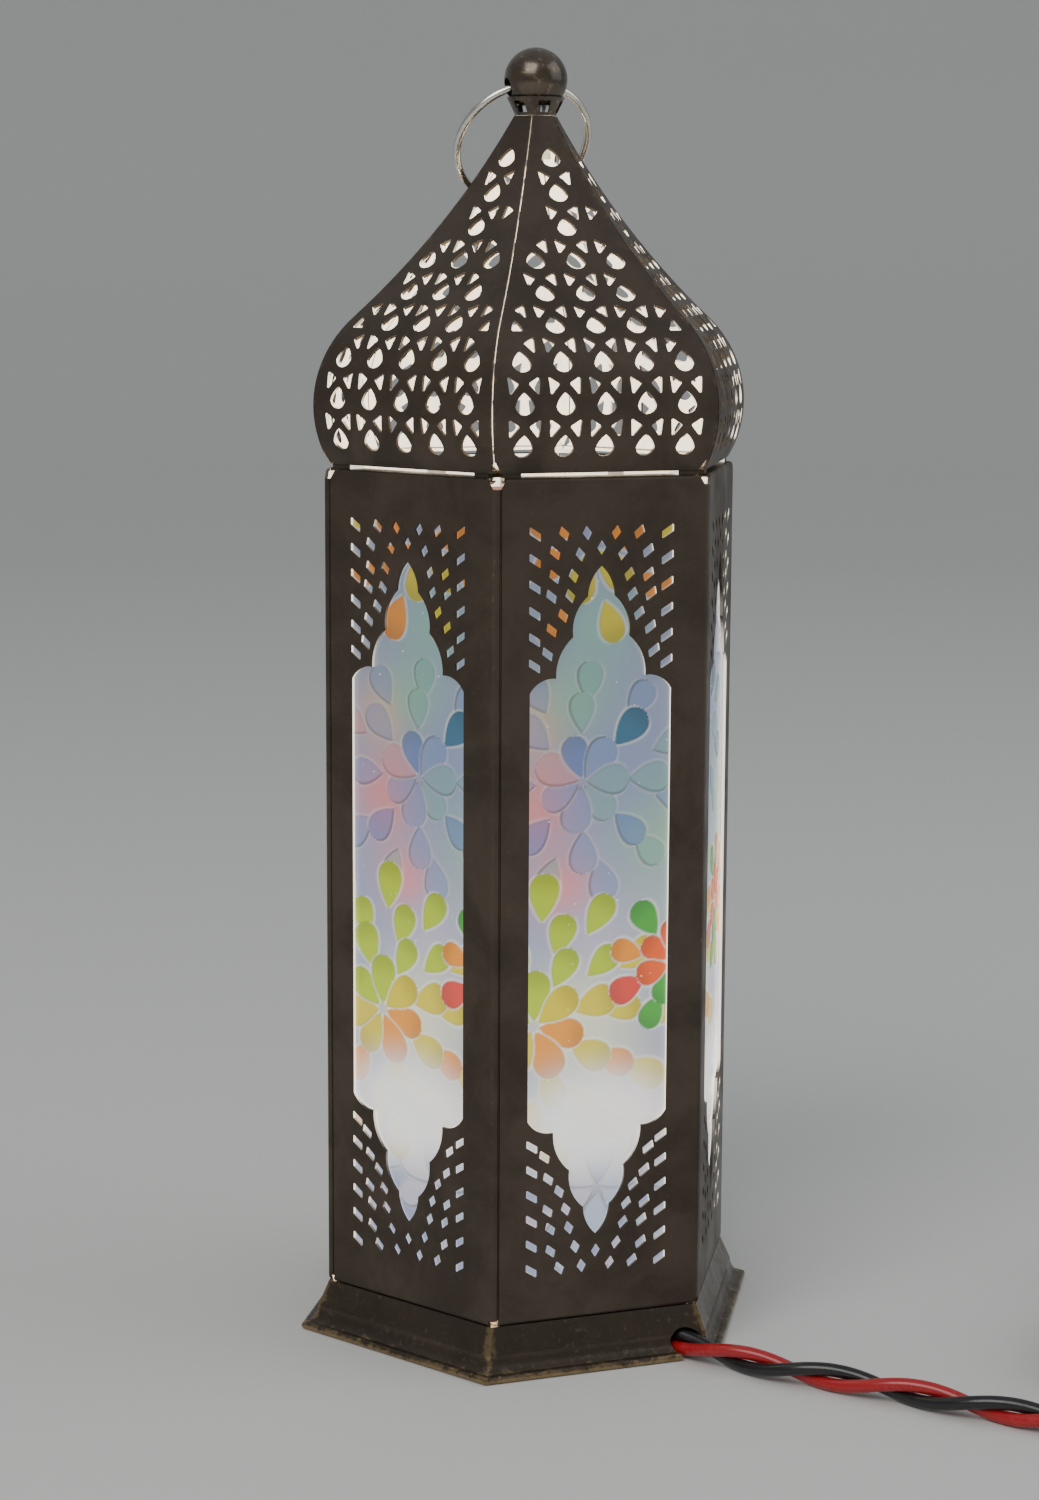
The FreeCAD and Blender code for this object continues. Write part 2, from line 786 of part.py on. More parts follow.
def base_skirt():
    """Flared skirt with the ledge and tongues that carry and locate the body."""
    sectors = around(skirt_sector())
    ring = sectors[0].fuse(sectors[1:])
    tongue_out = face_out - flange_depth - tongue_clear
    size = (tongue_width, skirt_sheet, tongue_height)
    tongue = block(size, (-tongue_width / 2, -tongue_out, ledge_top))
    ring = ring.fuse(around(tongue))
    holes = [disc(rivet_hole, 6, point) for point in base_rivet_places(ledge_under - 2)]
    return one_solid(ring.cut(Part.makeCompound(holes + [way_out()])))


def base_rivet_places(z):
    places = []
    for k in range(SIDES):
        angle = math.radians(STEP * (k + 0.5))
        places.append(V(base_rivet_v * math.cos(angle), base_rivet_v * math.sin(angle), z))
    return places


def base_rivets():
    low = plate_under - fit_gap
    high = ledge_top + fit_gap
    outline = rivet_outline(low, high, rivet_hole - fit_gap, 1.6, rivet_rise)
    return [lathe(outline, place) for place in base_rivet_places(0)]


grommet_at = V(6.5, -18.5, 0)
core_spread = 0.54 * core_diameter                # a core's middle from the pair's middle
grommet_bore = core_spread + core_diameter / 2 + 0.24
grommet_hole = grommet_bore + 0.85
grommet_lip = grommet_hole + 1.1
grommet_lip_height = 0.9
screw_radius = 1.5
screw_head = 2.7


def base_plate():
    corner = plate_out / math.cos(HALF)
    points = [(corner * math.cos(k * 2 * HALF), corner * math.sin(k * 2 * HALF))
              for k in range(SIDES)]
    plate = prism(points, in_plan(plate_under), V(0, 0, plate_sheet))
    holes = [disc(rivet_hole, 6, point) for point in base_rivet_places(plate_under - 2)]
    holes.append(disc(grommet_hole, 6, grommet_at + V(0, 0, plate_under - 2)))
    for hand in (-1, 1):
        holes.append(disc(screw_radius, 6, V(hand * foot_screw_x, 0, plate_under - 2)))
    return one_solid(plate.cut(Part.makeCompound(holes)))


# ---- lamp ------------------------------------------------------------------
foot_low = plate_top + fit_gap
foot_height = 3.5
holder_top = foot_low + holder_height
liner_in = cap_radius + 0.25
liner_out = liner_in + liner_wall
holder_radius = liner_out + holder_wall
foot_screw_x = holder_radius + screw_head + 1.0
foot_radius = foot_screw_x + screw_head + 1.3
foot_width = 16.0
socket_floor = foot_low + 5.5
cap_low = socket_floor + 2.4
cap_top = cap_low + cap_height
thread_pitch = 2.82
terminal_x = 6.0
terminal_z = foot_low + foot_height + 4.0
pocket_size = (6.2, 5.0, 5.0)
terminal_front = 4.0 - holder_radius              # back wall of the terminal pockets
terminal_head = 1.4


def lamp_holder():
    """Round holder with a wide foot, open at the top for the cap."""
    cavity = liner_out + fit_gap
    chamfer = 0.8
    outline = [(0, foot_low), (holder_radius, foot_low), (holder_radius, holder_top - chamfer),
               (holder_radius - chamfer, holder_top), (cavity, holder_top),
               (cavity, socket_floor), (0, socket_floor)]
    foot = disc(foot_radius, foot_height, V(0, 0, foot_low))
    bar = block((3 * foot_radius, foot_width, foot_height),
                (-1.5 * foot_radius, -foot_width / 2, foot_low))
    body = lathe(outline).fuse(foot.common(bar))
    holes = []
    wide, deep, high = pocket_size
    for hand in (-1, 1):
        holes.append(disc(screw_radius, 20, V(hand * foot_screw_x, 0, foot_low - 1)))
        corner = (hand * terminal_x - wide / 2, terminal_front - deep, terminal_z - high / 2)
        holes.append(block(pocket_size, corner))
    return one_solid(body.cut(Part.makeCompound(holes)))


def holder_terminals():
    """Slotted terminal screws, one in each pocket of the holder."""
    screws = []
    for hand in (-1, 1):
        start = V(hand * terminal_x, terminal_front - fit_gap, terminal_z)
        head = disc(1.9, terminal_head, start, V(0, -1, 0))
        slot = block((5, 0.6, 0.5), (start.x - 2.5, start.y - 1.5, terminal_z - 0.25))
        screws.append(head.cut(slot))
    return screws


def holder_liner():
    """Rolled thread liner: a wavy tube, open at the top."""
    low = socket_floor + fit_gap
    high = holder_top - 1.0
    turns = int((high - low - 2) / thread_pitch)
    outer = [(liner_out, low), (liner_out, high)]
    inner = [(liner_in, high)]
    groove = 0.35
    z = high - 1.0
    for _ in range(turns):
        bend = (liner_in + groove, z - thread_pitch / 4)
        inner += [(liner_in, z), (bend, (liner_in, z - thread_pitch / 2))]
        z -= thread_pitch
    inner.append((liner_in, low))
    return lathe(outer + inner)


def centre_contact():
    """Springy strip under the cap's tip: flat foot, bent side, flat top."""
    low = socket_floor + fit_gap
    high = cap_low - 0.9
    knee = low + 0.4 * (high - low)
    t = 0.35
    wide = 3.6
    outline = [(-5.0, low), (3.0, low), (4.2, knee), (2.6, high), (-2.2, high),
               (-2.2, high - t), (2.3, high - t), (3.6, knee), (2.7, low + t), (-5.0, low + t)]
    return prism(outline, lambda p: V(p[0], -wide / 2, p[1]), V(0, wide, 0))


cap_tip_hole = 2.6
cap_sheet = 0.3


def bulb_cap():
    """Screw cap: a rolled shell with four rounded thread turns and a hole for the tip."""
    core = cap_radius - 0.7
    foot = cap_low + 1.4
    outline = [(cap_tip_hole, cap_low), (core - 0.6, cap_low), (core, foot)]
    for turn in range(4):
        z = foot + turn * thread_pitch
        crest = (cap_radius, z + thread_pitch / 4)
        root = (core - 0.25, z + 3 * thread_pitch / 4)
        outline.append((crest, (core, z + thread_pitch / 2)))
        outline.append((root, (core, z + thread_pitch)))
    outline += [(core, cap_top), (core - cap_sheet, cap_top), (core - cap_sheet, foot + 0.2),
                (cap_tip_hole, cap_low + 0.6)]
    return lathe(outline)


def bulb_tip():
    """Black insulator with its solder button."""
    low = cap_low - 0.8
    wide = cap_tip_hole - 0.1
    outline = [(0, low), (1.0, low), (1.8, cap_low - fit_gap), (wide, cap_low - fit_gap),
               (wide, cap_low + 0.5), (0, cap_low + 0.5)]
    return lathe(outline)


def bulb_glass():
    """Closed envelope: narrow neck held in the cap, round head."""
    neck = cap_radius - 1.1
    head_z = cap_top + bulb_lift

    def head_point(degrees):
        angle = math.radians(degrees)
        return (bulb_radius * math.cos(angle), head_z + bulb_radius * math.sin(angle))

    shoulder = head_point(-40)
    waist = ((neck + shoulder[0]) / 2 - 0.6, (cap_top + 2 + shoulder[1]) / 2)
    outline = [(0, cap_top - 3), (neck, cap_top - 3), (neck, cap_top + 2), (waist, shoulder),
               (head_point(25), (0, head_z + bulb_radius))]
    return lathe(outline)


def holder_screws():
    """Slotted screws that hold the foot down on the base plate."""
    seat = foot_low + foot_height + fit_gap
    shank = screw_radius - fit_gap
    low = plate_under - nut_height - 0.8
    top = seat + 1.6
    outline = [(0, low), (shank, low), (shank, seat), (screw_head, seat),
               (screw_head, seat + 0.9), (screw_radius, top), (0, top)]
    screws = []
    for x in (-foot_screw_x, foot_screw_x):
        screw = lathe(outline, V(x, 0, 0))
        screws.append(screw.cut(block((6, 0.7, 1), (x - 3, -0.35, top - 0.6))))
    return screws


def holder_nuts():
    z = plate_under - nut_height - fit_gap
    return [hex_nut(nut_flats, nut_height, screw_radius, V(x, 0, z))
            for x in (-foot_screw_x, foot_screw_x)]


def lead_grommet():
    """Soft bush in the base plate: a tube with a lip above and below the sheet."""
    r = grommet_hole - fit_gap
    up = plate_top + fit_gap
    down = plate_under - fit_gap
    high = up + grommet_lip_height
    low = down - grommet_lip_height
    outline = [(grommet_bore, low), (grommet_lip, low), (grommet_lip, down), (r, down), (r, up),
               (grommet_lip, up), (grommet_lip, high), (grommet_bore, high)]
    return lathe(outline, grommet_at)


# ---- cords -----------------------------------------------------------------
FLOOR = lead_diameter / 2
ROUTE = [
    V(13.0, -29.6, FLOOR), V(16.6, -36.3, FLOOR), V(20.5, -43.8, FLOOR), V(26.6, -53.8, FLOOR),
    V(34.8, -63.6, FLOOR), V(44.4, -73.2, FLOOR), V(52.2, -83.0, FLOOR), V(60.6, -92.6, FLOOR),
    V(68.5, -100.2, FLOOR), V(77.3, -106.0, FLOOR), V(87.0, -110.4, FLOOR),
    V(97.5, -113.9, FLOOR), V(106.0, -116.6, FLOOR),
]
# From the coil's top turn, inwards and up to the plug that lies on the coil.
TAIL = [
    coil_centre + V(9.1, -24.8, 14.3), coil_centre + V(16.6, -20.1, 16.6),
    coil_centre + V(22.0, -13.2, 19.2), coil_centre + V(24.7, -4.8, 21.4),
    coil_centre + V(25.0, 3.0, 22.4), coil_centre + V(25.0, 8.0, 22.4),
]


def cord_tube(points, diameter, name):
    """Tube of straight runs joined by arcs: each arc takes 0.45 of its shorter run."""
    edges = []
    here = points[0]
    length = 0.0
    radii = []
    for i in range(1, len(points) - 1):
        back = points[i - 1] - points[i]
        ahead = points[i + 1] - points[i]
        turn = math.pi - back.getAngle(ahead)
        run = 0.45 * min(back.Length, ahead.Length)
        back.normalize()
        ahead.normalize()
        radius = run / math.tan(turn / 2)
        start = points[i] + back * run
        end = points[i] + ahead * run
        bisector = (back + ahead).normalize()
        middle = points[i] + bisector * (radius / math.cos(turn / 2) - radius)
        edges.append(Part.LineSegment(here, start).toShape())
        edges.append(Part.Arc(start, middle, end).toShape())
        length += here.distanceToPoint(start) + radius * turn
        radii.append(round(radius, 1))
        here = end
    edges.append(Part.LineSegment(here, points[-1]).toShape())
    length += here.distanceToPoint(points[-1])
    direction = (points[1] - points[0]).normalize()
    circle = Part.makeCircle(diameter / 2, points[0], direction)
    tube = Part.Wire(edges).makePipeShell([Part.Wire([circle])], True, False)
    tube = Part.Solid(tube) if tube.ShapeType != "Solid" else tube
    expected = math.pi * diameter ** 2 / 4 * length
    print(name, "radii", radii, "length", round(length, 1), "volume ratio",
          round(tube.Volume / expected, 4))
    return tube


clamp_length = 6.0
clamp_width = 9.5
clamp_foot = 0.6             # clamp's underside above the floor


def lead_clamp():
    """Block under the base plate that grips both cores where they become the lead."""
    way = (ROUTE[1] - ROUTE[0]).normalize()
    high = plate_under - fit_gap - clamp_foot
    corner = V(-clamp_width / 2, -clamp_length, clamp_foot)
    box = Part.makeBox(clamp_width, clamp_length, high, corner)
    box = box.makeFillet(1.0, [e for e in box.Edges if abs(e.tangentAt(0).z) > 0.9])
    box.rotate(V(0, 0, 0), UP, math.degrees(math.atan2(way.y, way.x)) - 90)
    box.translate(V(ROUTE[0].x, ROUTE[0].y, 0))
    return box


def core_points(hand):
    """One core: terminal, over the foot, down through the grommet and to the clamp."""
    way = (ROUTE[1] - ROUTE[0]).normalize()
    aside = V(-way.y, way.x, 0) * (hand * core_spread)
    rear = ROUTE[0] - way * (clamp_length + 4 * fit_gap) + aside
    drop = grommet_at + aside
    over_foot = foot_low + foot_height + core_diameter - 1.2
    start = V(hand * terminal_x, terminal_front - terminal_head - 3 * fit_gap, terminal_z)
    return [start, V(start.x, -holder_radius - 3.4, terminal_z), V(drop.x, drop.y, over_foot),
            V(drop.x, drop.y, FLOOR), V(rear.x, rear.y, FLOOR)]


def coil_section(grow):
    """Outline in (r, z) of seven turns on the floor: three wide, two high and one on top."""
    d = lead_diameter
    r = coil_mid_radius
    half = 1.5 * d + grow
    crown = 0.55 * d + grow
    top = 2.87 * d + grow
    return [(r - half, 0), (r + half, 0), (r + half, 2 * d), (r + crown, top), (r - crown, top),
            (r - half, 2 * d)]


def lead_coil():
    return lathe(coil_section(0), coil_centre)


tie_angle = 105.0
tie_width = 5.0
tie_thickness = 1.0


def coil_tie():
    """Strap round the coil's turns at one place."""
    half = 1.5 * lead_diameter
    floor = [(coil_mid_radius - half, tie_thickness), (coil_mid_radius + half, tie_thickness)]
    outer = Part.Face(wire_of(coil_section(tie_thickness), lambda p: V(p[0], 0, p[1])))
    inner = Part.Face(wire_of(floor + coil_section(0)[2:], lambda p: V(p[0], 0, p[1])))
    sweep = math.degrees(tie_width / coil_mid_radius)
    band = outer.cut(inner).revolve(V(0, 0, 0), UP, sweep)
    band.rotate(V(0, 0, 0), UP, tie_angle)
    band.translate(coil_centre)
    return one_solid(band)


plug_length = 32.0
plug_width = 26.0
plug_height = 13.6
plug_tail = 12.0
plug_edge = 2.4
pin_radius = 2.0
pin_length = 19.0
pin_spacing = 18.6
plug_start = TAIL[-1]
plug_front = plug_start.y + plug_tail + plug_length


def plug_body():
    """Flat moulded plug that tapers into its strain relief, lying with its pins towards +Y."""
    x, y, z = plug_start
    neck = lead_diameter / 2 + 1.2
    w = plug_width / 2
    back = y + plug_tail
    outline = [(x - neck, back), (x - neck - 1.5, back + 4),
               ((x - w + 1.2, back + 11), (x - w, back + 20)), (x - w, plug_front),
               (x + w, plug_front), (x + w, back + 20),
               ((x + w - 1.2, back + 11), (x + neck + 1.5, back + 4)), (x + neck, back)]
    place = in_plan(z - plug_height / 2)
    body = prism([mirrored(item) for item in outline], place, V(0, 0, plug_height))
    level = [e for e in body.Edges if e.BoundBox.ZLength < 0.01 and e.BoundBox.YLength > 0.01]
    body = body.makeFillet(plug_edge, level)
    cone = Part.makeCone(lead_diameter / 2 + 0.35, neck, plug_tail + 1, V(x, y, z), V(0, 1, 0))
    return one_solid(body.fuse(cone))


def mirrored(item):
    """An outline's item given in (x, y), as the (u, v) that in_plan places there."""
    if isinstance(item[0], tuple):
        return tuple((x, -y) for x, y in item)
    return (item[0], -item[1])


def plug_pins():
    pins = []
    start = plug_front + fit_gap / 2
    for hand in (-1, 1):
        foot = V(plug_start.x + hand * pin_spacing / 2, start, plug_start.z)
        pin = disc(pin_radius, pin_length, foot, V(0, 1, 0))
        tips = [e for e in pin.Edges if e.BoundBox.YMin > start + pin_length - 0.1]
        pins.append(pin.makeFillet(pin_radius * 0.6, tips))
    return pins


# ---- build -----------------------------------------------------------------
save_around("panel_", panel())
save_around("pane_", pane())
save_around("petal_", petal())
save_group("pane_tabs", pane_tabs())
save_group("rim_spacers", around(rim_spacer(-1)) + around(rim_spacer(1)))
save_group("rim_rivets", around(rim_rivet(-1)) + around(rim_rivet(1)))
save("finial_ball", finial_ball())
save("finial_cup", finial_cup())
save("finial_stem", finial_stem())
save("neck_washer", neck_washer())
save("neck_nut", hex_nut(nut_flats, nut_height, stem_radius,
                         V(0, 0, washer_z - washer_thickness - nut_height - fit_gap)))
save("hanging_ring", hanging_ring())
save("base_skirt", base_skirt())
save("base_plate", base_plate())
save_group("base_rivets", base_rivets())
save("lamp_holder", lamp_holder())
save_group("holder_terminals", holder_terminals())
save("holder_liner", holder_liner())
save("centre_contact", centre_contact())
save_group("holder_screws", holder_screws())
save_group("holder_nuts", holder_nuts())
save("bulb_cap", bulb_cap())
save("bulb_tip", bulb_tip())
save("bulb_glass", bulb_glass())
save("lead_grommet", lead_grommet())
save("lead_clamp", lead_clamp())
save("core_red", cord_tube(core_points(-1), core_diameter, "core_red"))
save("core_black", cord_tube(core_points(1), core_diameter, "core_black"))
save("lead_tube", cord_tube(ROUTE, lead_diameter, "lead_tube"))
save("lead_tail", cord_tube(TAIL, lead_diameter, "lead_tail"))
save("lead_coil", lead_coil())
save("coil_tie", coil_tie())
save("plug_body", plug_body())
save_group("plug_pins", plug_pins())
print("ring lean", round(math.degrees(ring_lean), 2), "hole height", round(hole_z, 3))
print("total height", round(ball_z + ball_radius, 2), "rim face", round(rim_face, 3))
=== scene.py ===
"""Looks of a six-sided pierced-metal lantern: printed panes, twisted lead, finishes and stage."""

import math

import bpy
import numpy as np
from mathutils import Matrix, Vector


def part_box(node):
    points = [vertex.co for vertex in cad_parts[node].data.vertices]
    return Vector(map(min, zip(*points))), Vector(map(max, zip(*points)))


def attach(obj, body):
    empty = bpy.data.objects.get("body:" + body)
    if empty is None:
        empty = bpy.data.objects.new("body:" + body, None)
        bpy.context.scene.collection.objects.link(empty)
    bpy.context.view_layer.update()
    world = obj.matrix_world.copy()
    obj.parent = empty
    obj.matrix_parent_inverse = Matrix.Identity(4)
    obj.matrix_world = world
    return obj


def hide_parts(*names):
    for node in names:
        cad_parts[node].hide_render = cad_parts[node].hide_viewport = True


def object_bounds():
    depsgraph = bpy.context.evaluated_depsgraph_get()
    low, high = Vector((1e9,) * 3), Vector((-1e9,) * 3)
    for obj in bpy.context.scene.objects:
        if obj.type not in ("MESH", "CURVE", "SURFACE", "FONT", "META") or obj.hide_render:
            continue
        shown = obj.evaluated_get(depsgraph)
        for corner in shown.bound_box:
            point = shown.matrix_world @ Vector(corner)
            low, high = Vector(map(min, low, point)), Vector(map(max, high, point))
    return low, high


bl_info = {
    "name": "Pierced Metal Lantern",
    "version": (1, 0, 0),
    "blender": (4, 5, 0),
    "location": "View3D > Sidebar > Lantern",
    "description": "Printed panes, twisted lead, metal finishes and stage for a six-sided lantern",
    "category": "Object",
}

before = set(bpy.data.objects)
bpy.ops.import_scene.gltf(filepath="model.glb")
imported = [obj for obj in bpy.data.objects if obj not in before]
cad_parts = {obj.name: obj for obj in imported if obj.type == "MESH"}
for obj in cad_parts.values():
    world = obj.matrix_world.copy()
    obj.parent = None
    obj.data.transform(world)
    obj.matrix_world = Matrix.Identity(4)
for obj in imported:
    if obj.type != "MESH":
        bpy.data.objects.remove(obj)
cad_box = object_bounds()

MM = 0.001
SIDES = 6
FACES = ("front", "front_right", "back_right", "back", "back_left", "front_left")


# ---- settings ----------------------------------------------------------------------------

def colour_prop(name, description, default):
    return bpy.props.FloatVectorProperty(
        name=name, description=description, default=default, size=3, subtype="COLOR",
        min=0.0, max=1.0)


class LanternPaneSettings(bpy.types.PropertyGroup):
    # Painted lamp light: the panes' own emission stands in for the lamp's light passing through them.
    painted_glow: bpy.props.FloatProperty(
        name="Glow", description="How strongly the lamp shows through the panes",
        default=0.95, min=0.0, max=10.0)
    relief: bpy.props.FloatProperty(
        name="Relief", description="How far the drops of resin stand up from the pane",
        default=0.00012, min=0.0, max=0.0004, unit="LENGTH")
    step: bpy.props.FloatProperty(
        name="Grid step", description="Spacing of the printed surface's grid",
        default=0.00028, min=0.0001, max=0.002, unit="LENGTH")
    ground: colour_prop("Ground", "Pale resin between the petals", (0.30, 0.34, 0.48))


class LanternLeadSettings(bpy.types.PropertyGroup):
    core_diameter: bpy.props.FloatProperty(
        name="Core", description="Diameter over one insulated core",
        default=0.0027, min=0.001, max=0.006, unit="LENGTH")
    lay: bpy.props.FloatProperty(
        name="Lay", description="Length of one full twist of the pair",
        default=0.036, min=0.01, max=0.2, unit="LENGTH")
    length: bpy.props.FloatProperty(
        name="Length", description="Real length of the lead, from its exit to the plug",
        default=1.5, min=0.3, max=5.0, unit="LENGTH")
    red: colour_prop("Red core", "Insulation of the first core", (0.42, 0.012, 0.016))
    black: colour_prop("Black core", "Insulation of the second core", (0.012, 0.012, 0.013))


class LanternMetalSettings(bpy.types.PropertyGroup):
    paint: colour_prop("Paint", "Antique bronze paint on the body and dome", (0.088, 0.066, 0.048))
    patina: colour_prop("Patina", "Darker patches of that paint", (0.058, 0.043, 0.031))
    worn: colour_prop("Worn metal", "Metal that shows where the paint has rubbed off",
                      (0.42, 0.30, 0.16))
    # Painted lamp light: the inner side of the sheets is given a cream colour and an emission of its
    # own.
    inside: colour_prop("Inside", "Lamp-lit inner side of the sheets", (0.95, 0.87, 0.72))
    inside_painted_glow: bpy.props.FloatProperty(
        name="Inside glow", description="Light that the inner side of the sheets gives back",
        default=1.3, min=0.0, max=10.0)


class LanternStageSettings(bpy.types.PropertyGroup):
    lamp: bpy.props.FloatProperty(
        name="Lamp", description="Light of the bulb's glass", default=26.0, min=0.0, max=500.0)
    key: bpy.props.FloatProperty(
        name="Key light", description="Power of the large soft light", default=15.0,
        min=0.0, max=200.0, unit="POWER")
    fill: bpy.props.FloatProperty(
        name="Fill light", description="Power of the second soft light", default=5.0,
        min=0.0, max=200.0, unit="POWER")
    sky: bpy.props.FloatProperty(
        name="Surroundings", description="Brightness of the studio round the lantern",
        default=0.45, min=0.0, max=5.0)
    floor: colour_prop("Floor", "Plain pale floor", (0.70, 0.70, 0.68))


# ---- mesh helpers ------------------------------------------------------------------------

def new_piece(name, vertices, faces, smooth=True):
    """A mesh object at the origin, from an array of points in metres and lists of corners."""
    mesh = bpy.data.meshes.new(name)
    mesh.from_pydata(np.asarray(vertices, float).tolist(), [], faces)
    mesh.validate(verbose=False)
    mesh.polygons.foreach_set("use_smooth", np.full(len(mesh.polygons), smooth))
    mesh.update()
    piece = bpy.data.objects.new(name, mesh)
    bpy.context.scene.collection.objects.link(piece)
    return piece


def turn_about_z(points, degrees):
    """Points turned about the lantern's axis."""
    angle = math.radians(degrees)
    c, s = math.cos(angle), math.sin(angle)
    return points @ np.array([[c, s, 0], [-s, c, 0], [0, 0, 1]])


def unit(vectors):
    return vectors / np.linalg.norm(vectors, axis=-1, keepdims=True)


def smoothstep(low, high, value):
    t = np.clip((value - low) / (high - low), 0, 1)
    return t * t * (3 - 2 * t)


# ---- materials: building blocks ------------------------------------------------------------

class Nodes:
    """Short calls for wiring a node tree from left to right."""

    def __init__(self, tree):
        self.tree = tree

    def add(self, kind, inputs=None, **settings):
        node = self.tree.nodes.new(kind)
        for key, value in settings.items():
            setattr(node, key, value)
        for key, value in (inputs or {}).items():
            self.feed(node.inputs[key], value)
        return node

    def feed(self, socket, value):
        if isinstance(value, bpy.types.NodeSocket):
            self.tree.links.new(value, socket)
        elif socket.type == "RGBA":
            socket.default_value = (*value[:3], 1.0)
        else:
            socket.default_value = value

    def math(self, operation, a, b=0.0, clamp=False):
        node = self.add("ShaderNodeMath", operation=operation, use_clamp=clamp)
        self.feed(node.inputs[0], a)
        self.feed(node.inputs[1], b)
        return node.outputs[0]

    def ramp(self, value, low, high):
        """0 below low, 1 above high, smooth between."""
        node = self.add("ShaderNodeMapRange", {0: value, 1: low, 2: high, 3: 0.0, 4: 1.0},
                        interpolation_type="SMOOTHSTEP")
        return node.outputs[0]

    def between(self, value, low, high):
        """Runs from low to high as the value goes from 0 to 1."""
        node = self.add("ShaderNodeMapRange", {0: value, 1: 0.0, 2: 1.0, 3: low, 4: high})
        return node.outputs[0]

    def mix(self, factor, a, b):
        node = self.add("ShaderNodeMix", data_type="RGBA")
        self.feed(node.inputs["Factor"], factor)
        colours = [s for s in node.inputs if s.type == "RGBA"]
        self.feed(colours[0], a)
        self.feed(colours[1], b)
        return [s for s in node.outputs if s.type == "RGBA"][0]

    def noise(self, vector, scale, detail=3.0, rough=0.55, distort=0.0):
        node = self.add("ShaderNodeTexNoise", {
            "Vector": vector, "Scale": scale, "Detail": detail, "Roughness": rough,
            "Distortion": distort})
        return node.outputs["Fac"]

    def bump(self, height, distance, strength=1.0):
        node = self.add("ShaderNodeBump", {
            "Height": height, "Distance": distance, "Strength": strength})
        return node.outputs["Normal"]


def new_group(name, inputs, outputs):
    """An empty node group with its sockets; returns (group, Nodes, input node, output node)."""
    group = bpy.data.node_groups.new(name, "ShaderNodeTree")
    for label, kind, default in inputs:
        socket = group.interface.new_socket(label, in_out="INPUT", socket_type=kind)
        if default is not None:
            socket.default_value = default
    for label, kind in outputs:
        group.interface.new_socket(label, in_out="OUTPUT", socket_type=kind)
    nodes = Nodes(group)
    return group, nodes, nodes.add("NodeGroupInput").outputs, nodes.add("NodeGroupOutput").inputs


def hexagon_group():
    """Where a point lies on the six-sided body: how far from the nearest corner's upright edge,
    and 1 where the surface looks towards the lantern's axis."""
    group, n, given, out = new_group(
        "hexagon_place", [("Vector", "NodeSocketVector", None), ("Normal", "NodeSocketVector", None)],
        [("Corner", "NodeSocketFloat"), ("Inner", "NodeSocketFloat"), ("Height", "NodeSocketFloat")])
    place = n.add("ShaderNodeSeparateXYZ", {0: given["Vector"]}).outputs
    angle = n.math("ARCTAN2", place["Y"], place["X"])
    sector = 2 * math.pi / SIDES
    nearest = n.math("MULTIPLY", n.math("ROUND", n.math("DIVIDE", angle, sector)), sector)
    radius = n.math("SQRT", n.math("ADD", n.math("MULTIPLY", place["X"], place["X"]),
                                   n.math("MULTIPLY", place["Y"], place["Y"])))
    off = n.math("ABSOLUTE", n.math("SINE", n.math("SUBTRACT", angle, nearest)))
    n.feed(out["Corner"], n.math("MULTIPLY", radius, off))
    flat = n.add("ShaderNodeCombineXYZ", {"X": place["X"], "Y": place["Y"], "Z": 0.0}).outputs[0]
    outward = n.add("ShaderNodeVectorMath", {0: flat}, operation="NORMALIZE").outputs[0]
    facing = n.add("ShaderNodeVectorMath", {0: outward, 1: given["Normal"]},
                   operation="DOT_PRODUCT").outputs["Value"]
    n.feed(out["Inner"], n.ramp(facing, -0.1, -0.35))
    n.feed(out["Height"], place["Z"])
    return group


def patina_group():
    """Mottled paint: large soft clouds, small specks and a fine orange-peel height."""
    group, n, given, out = new_group(
        "mottled_paint",
        [("Vector", "NodeSocketVector", None), ("Cloud Scale", "NodeSocketFloat", 60.0),
         ("Speck Scale", "NodeSocketFloat", 900.0)],
        [("Cloud", "NodeSocketFloat"), ("Speck", "NodeSocketFloat"), ("Peel", "NodeSocketFloat")])
    cloud = n.noise(given["Vector"], given["Cloud Scale"], 5.0, 0.6, 0.4)
    n.feed(out["Cloud"], n.ramp(cloud, 0.35, 0.68))
    speck = n.noise(given["Vector"], given["Speck Scale"], 2.0)
    n.feed(out["Speck"], n.ramp(speck, 0.60, 0.72))
    n.feed(out["Peel"], n.noise(given["Vector"], given["Speck Scale"], 3.0, 0.5))
    return group


def wear_group():
    """Rubbed paint: a mask that is strongest where the distance to an edge is small, broken up
    by scratches and chips."""
    group, n, given, out = new_group(
        "rubbed_edge",
        [("Vector", "NodeSocketVector", None), ("Distance", "NodeSocketFloat", 0.0),
         ("Width", "NodeSocketFloat", 0.001), ("Amount", "NodeSocketFloat", 0.5)],
        [("Mask", "NodeSocketFloat")])
    near = n.math("SUBTRACT", 1.0, n.math("DIVIDE", given["Distance"], given["Width"]), clamp=True)
    broken = n.noise(given["Vector"], 420.0, 4.0, 0.65, 0.6)
    total = n.math("ADD", n.math("MULTIPLY", near, given["Amount"]), n.math("MULTIPLY", broken, 0.9))
    n.feed(out["Mask"], n.ramp(total, 0.72, 0.98))
    return group


def shared_group(name, maker):
    return bpy.data.node_groups.get(name) or maker()


def new_material(name):
    """A material with its nodes, its Principled shader and its object coordinates."""
    material = bpy.data.materials.new(name)
    material.use_nodes = True
    tree = material.node_tree
    nodes = Nodes(tree)
    shader = tree.nodes["Principled BSDF"]
    place = nodes.add("ShaderNodeTexCoord").outputs["Object"]
    return material, nodes, shader, place


def grouped(n, name, maker, **inputs):
    node = n.add("ShaderNodeGroup", node_tree=shared_group(name, maker))
    for key, value in inputs.items():
        n.feed(node.inputs[key.replace("_", " ")], value)
    return node.outputs


def face_normal(n):
    return n.add("ShaderNodeNewGeometry").outputs["True Normal"]


# ---- materials: the lantern's finishes -----------------------------------------------------

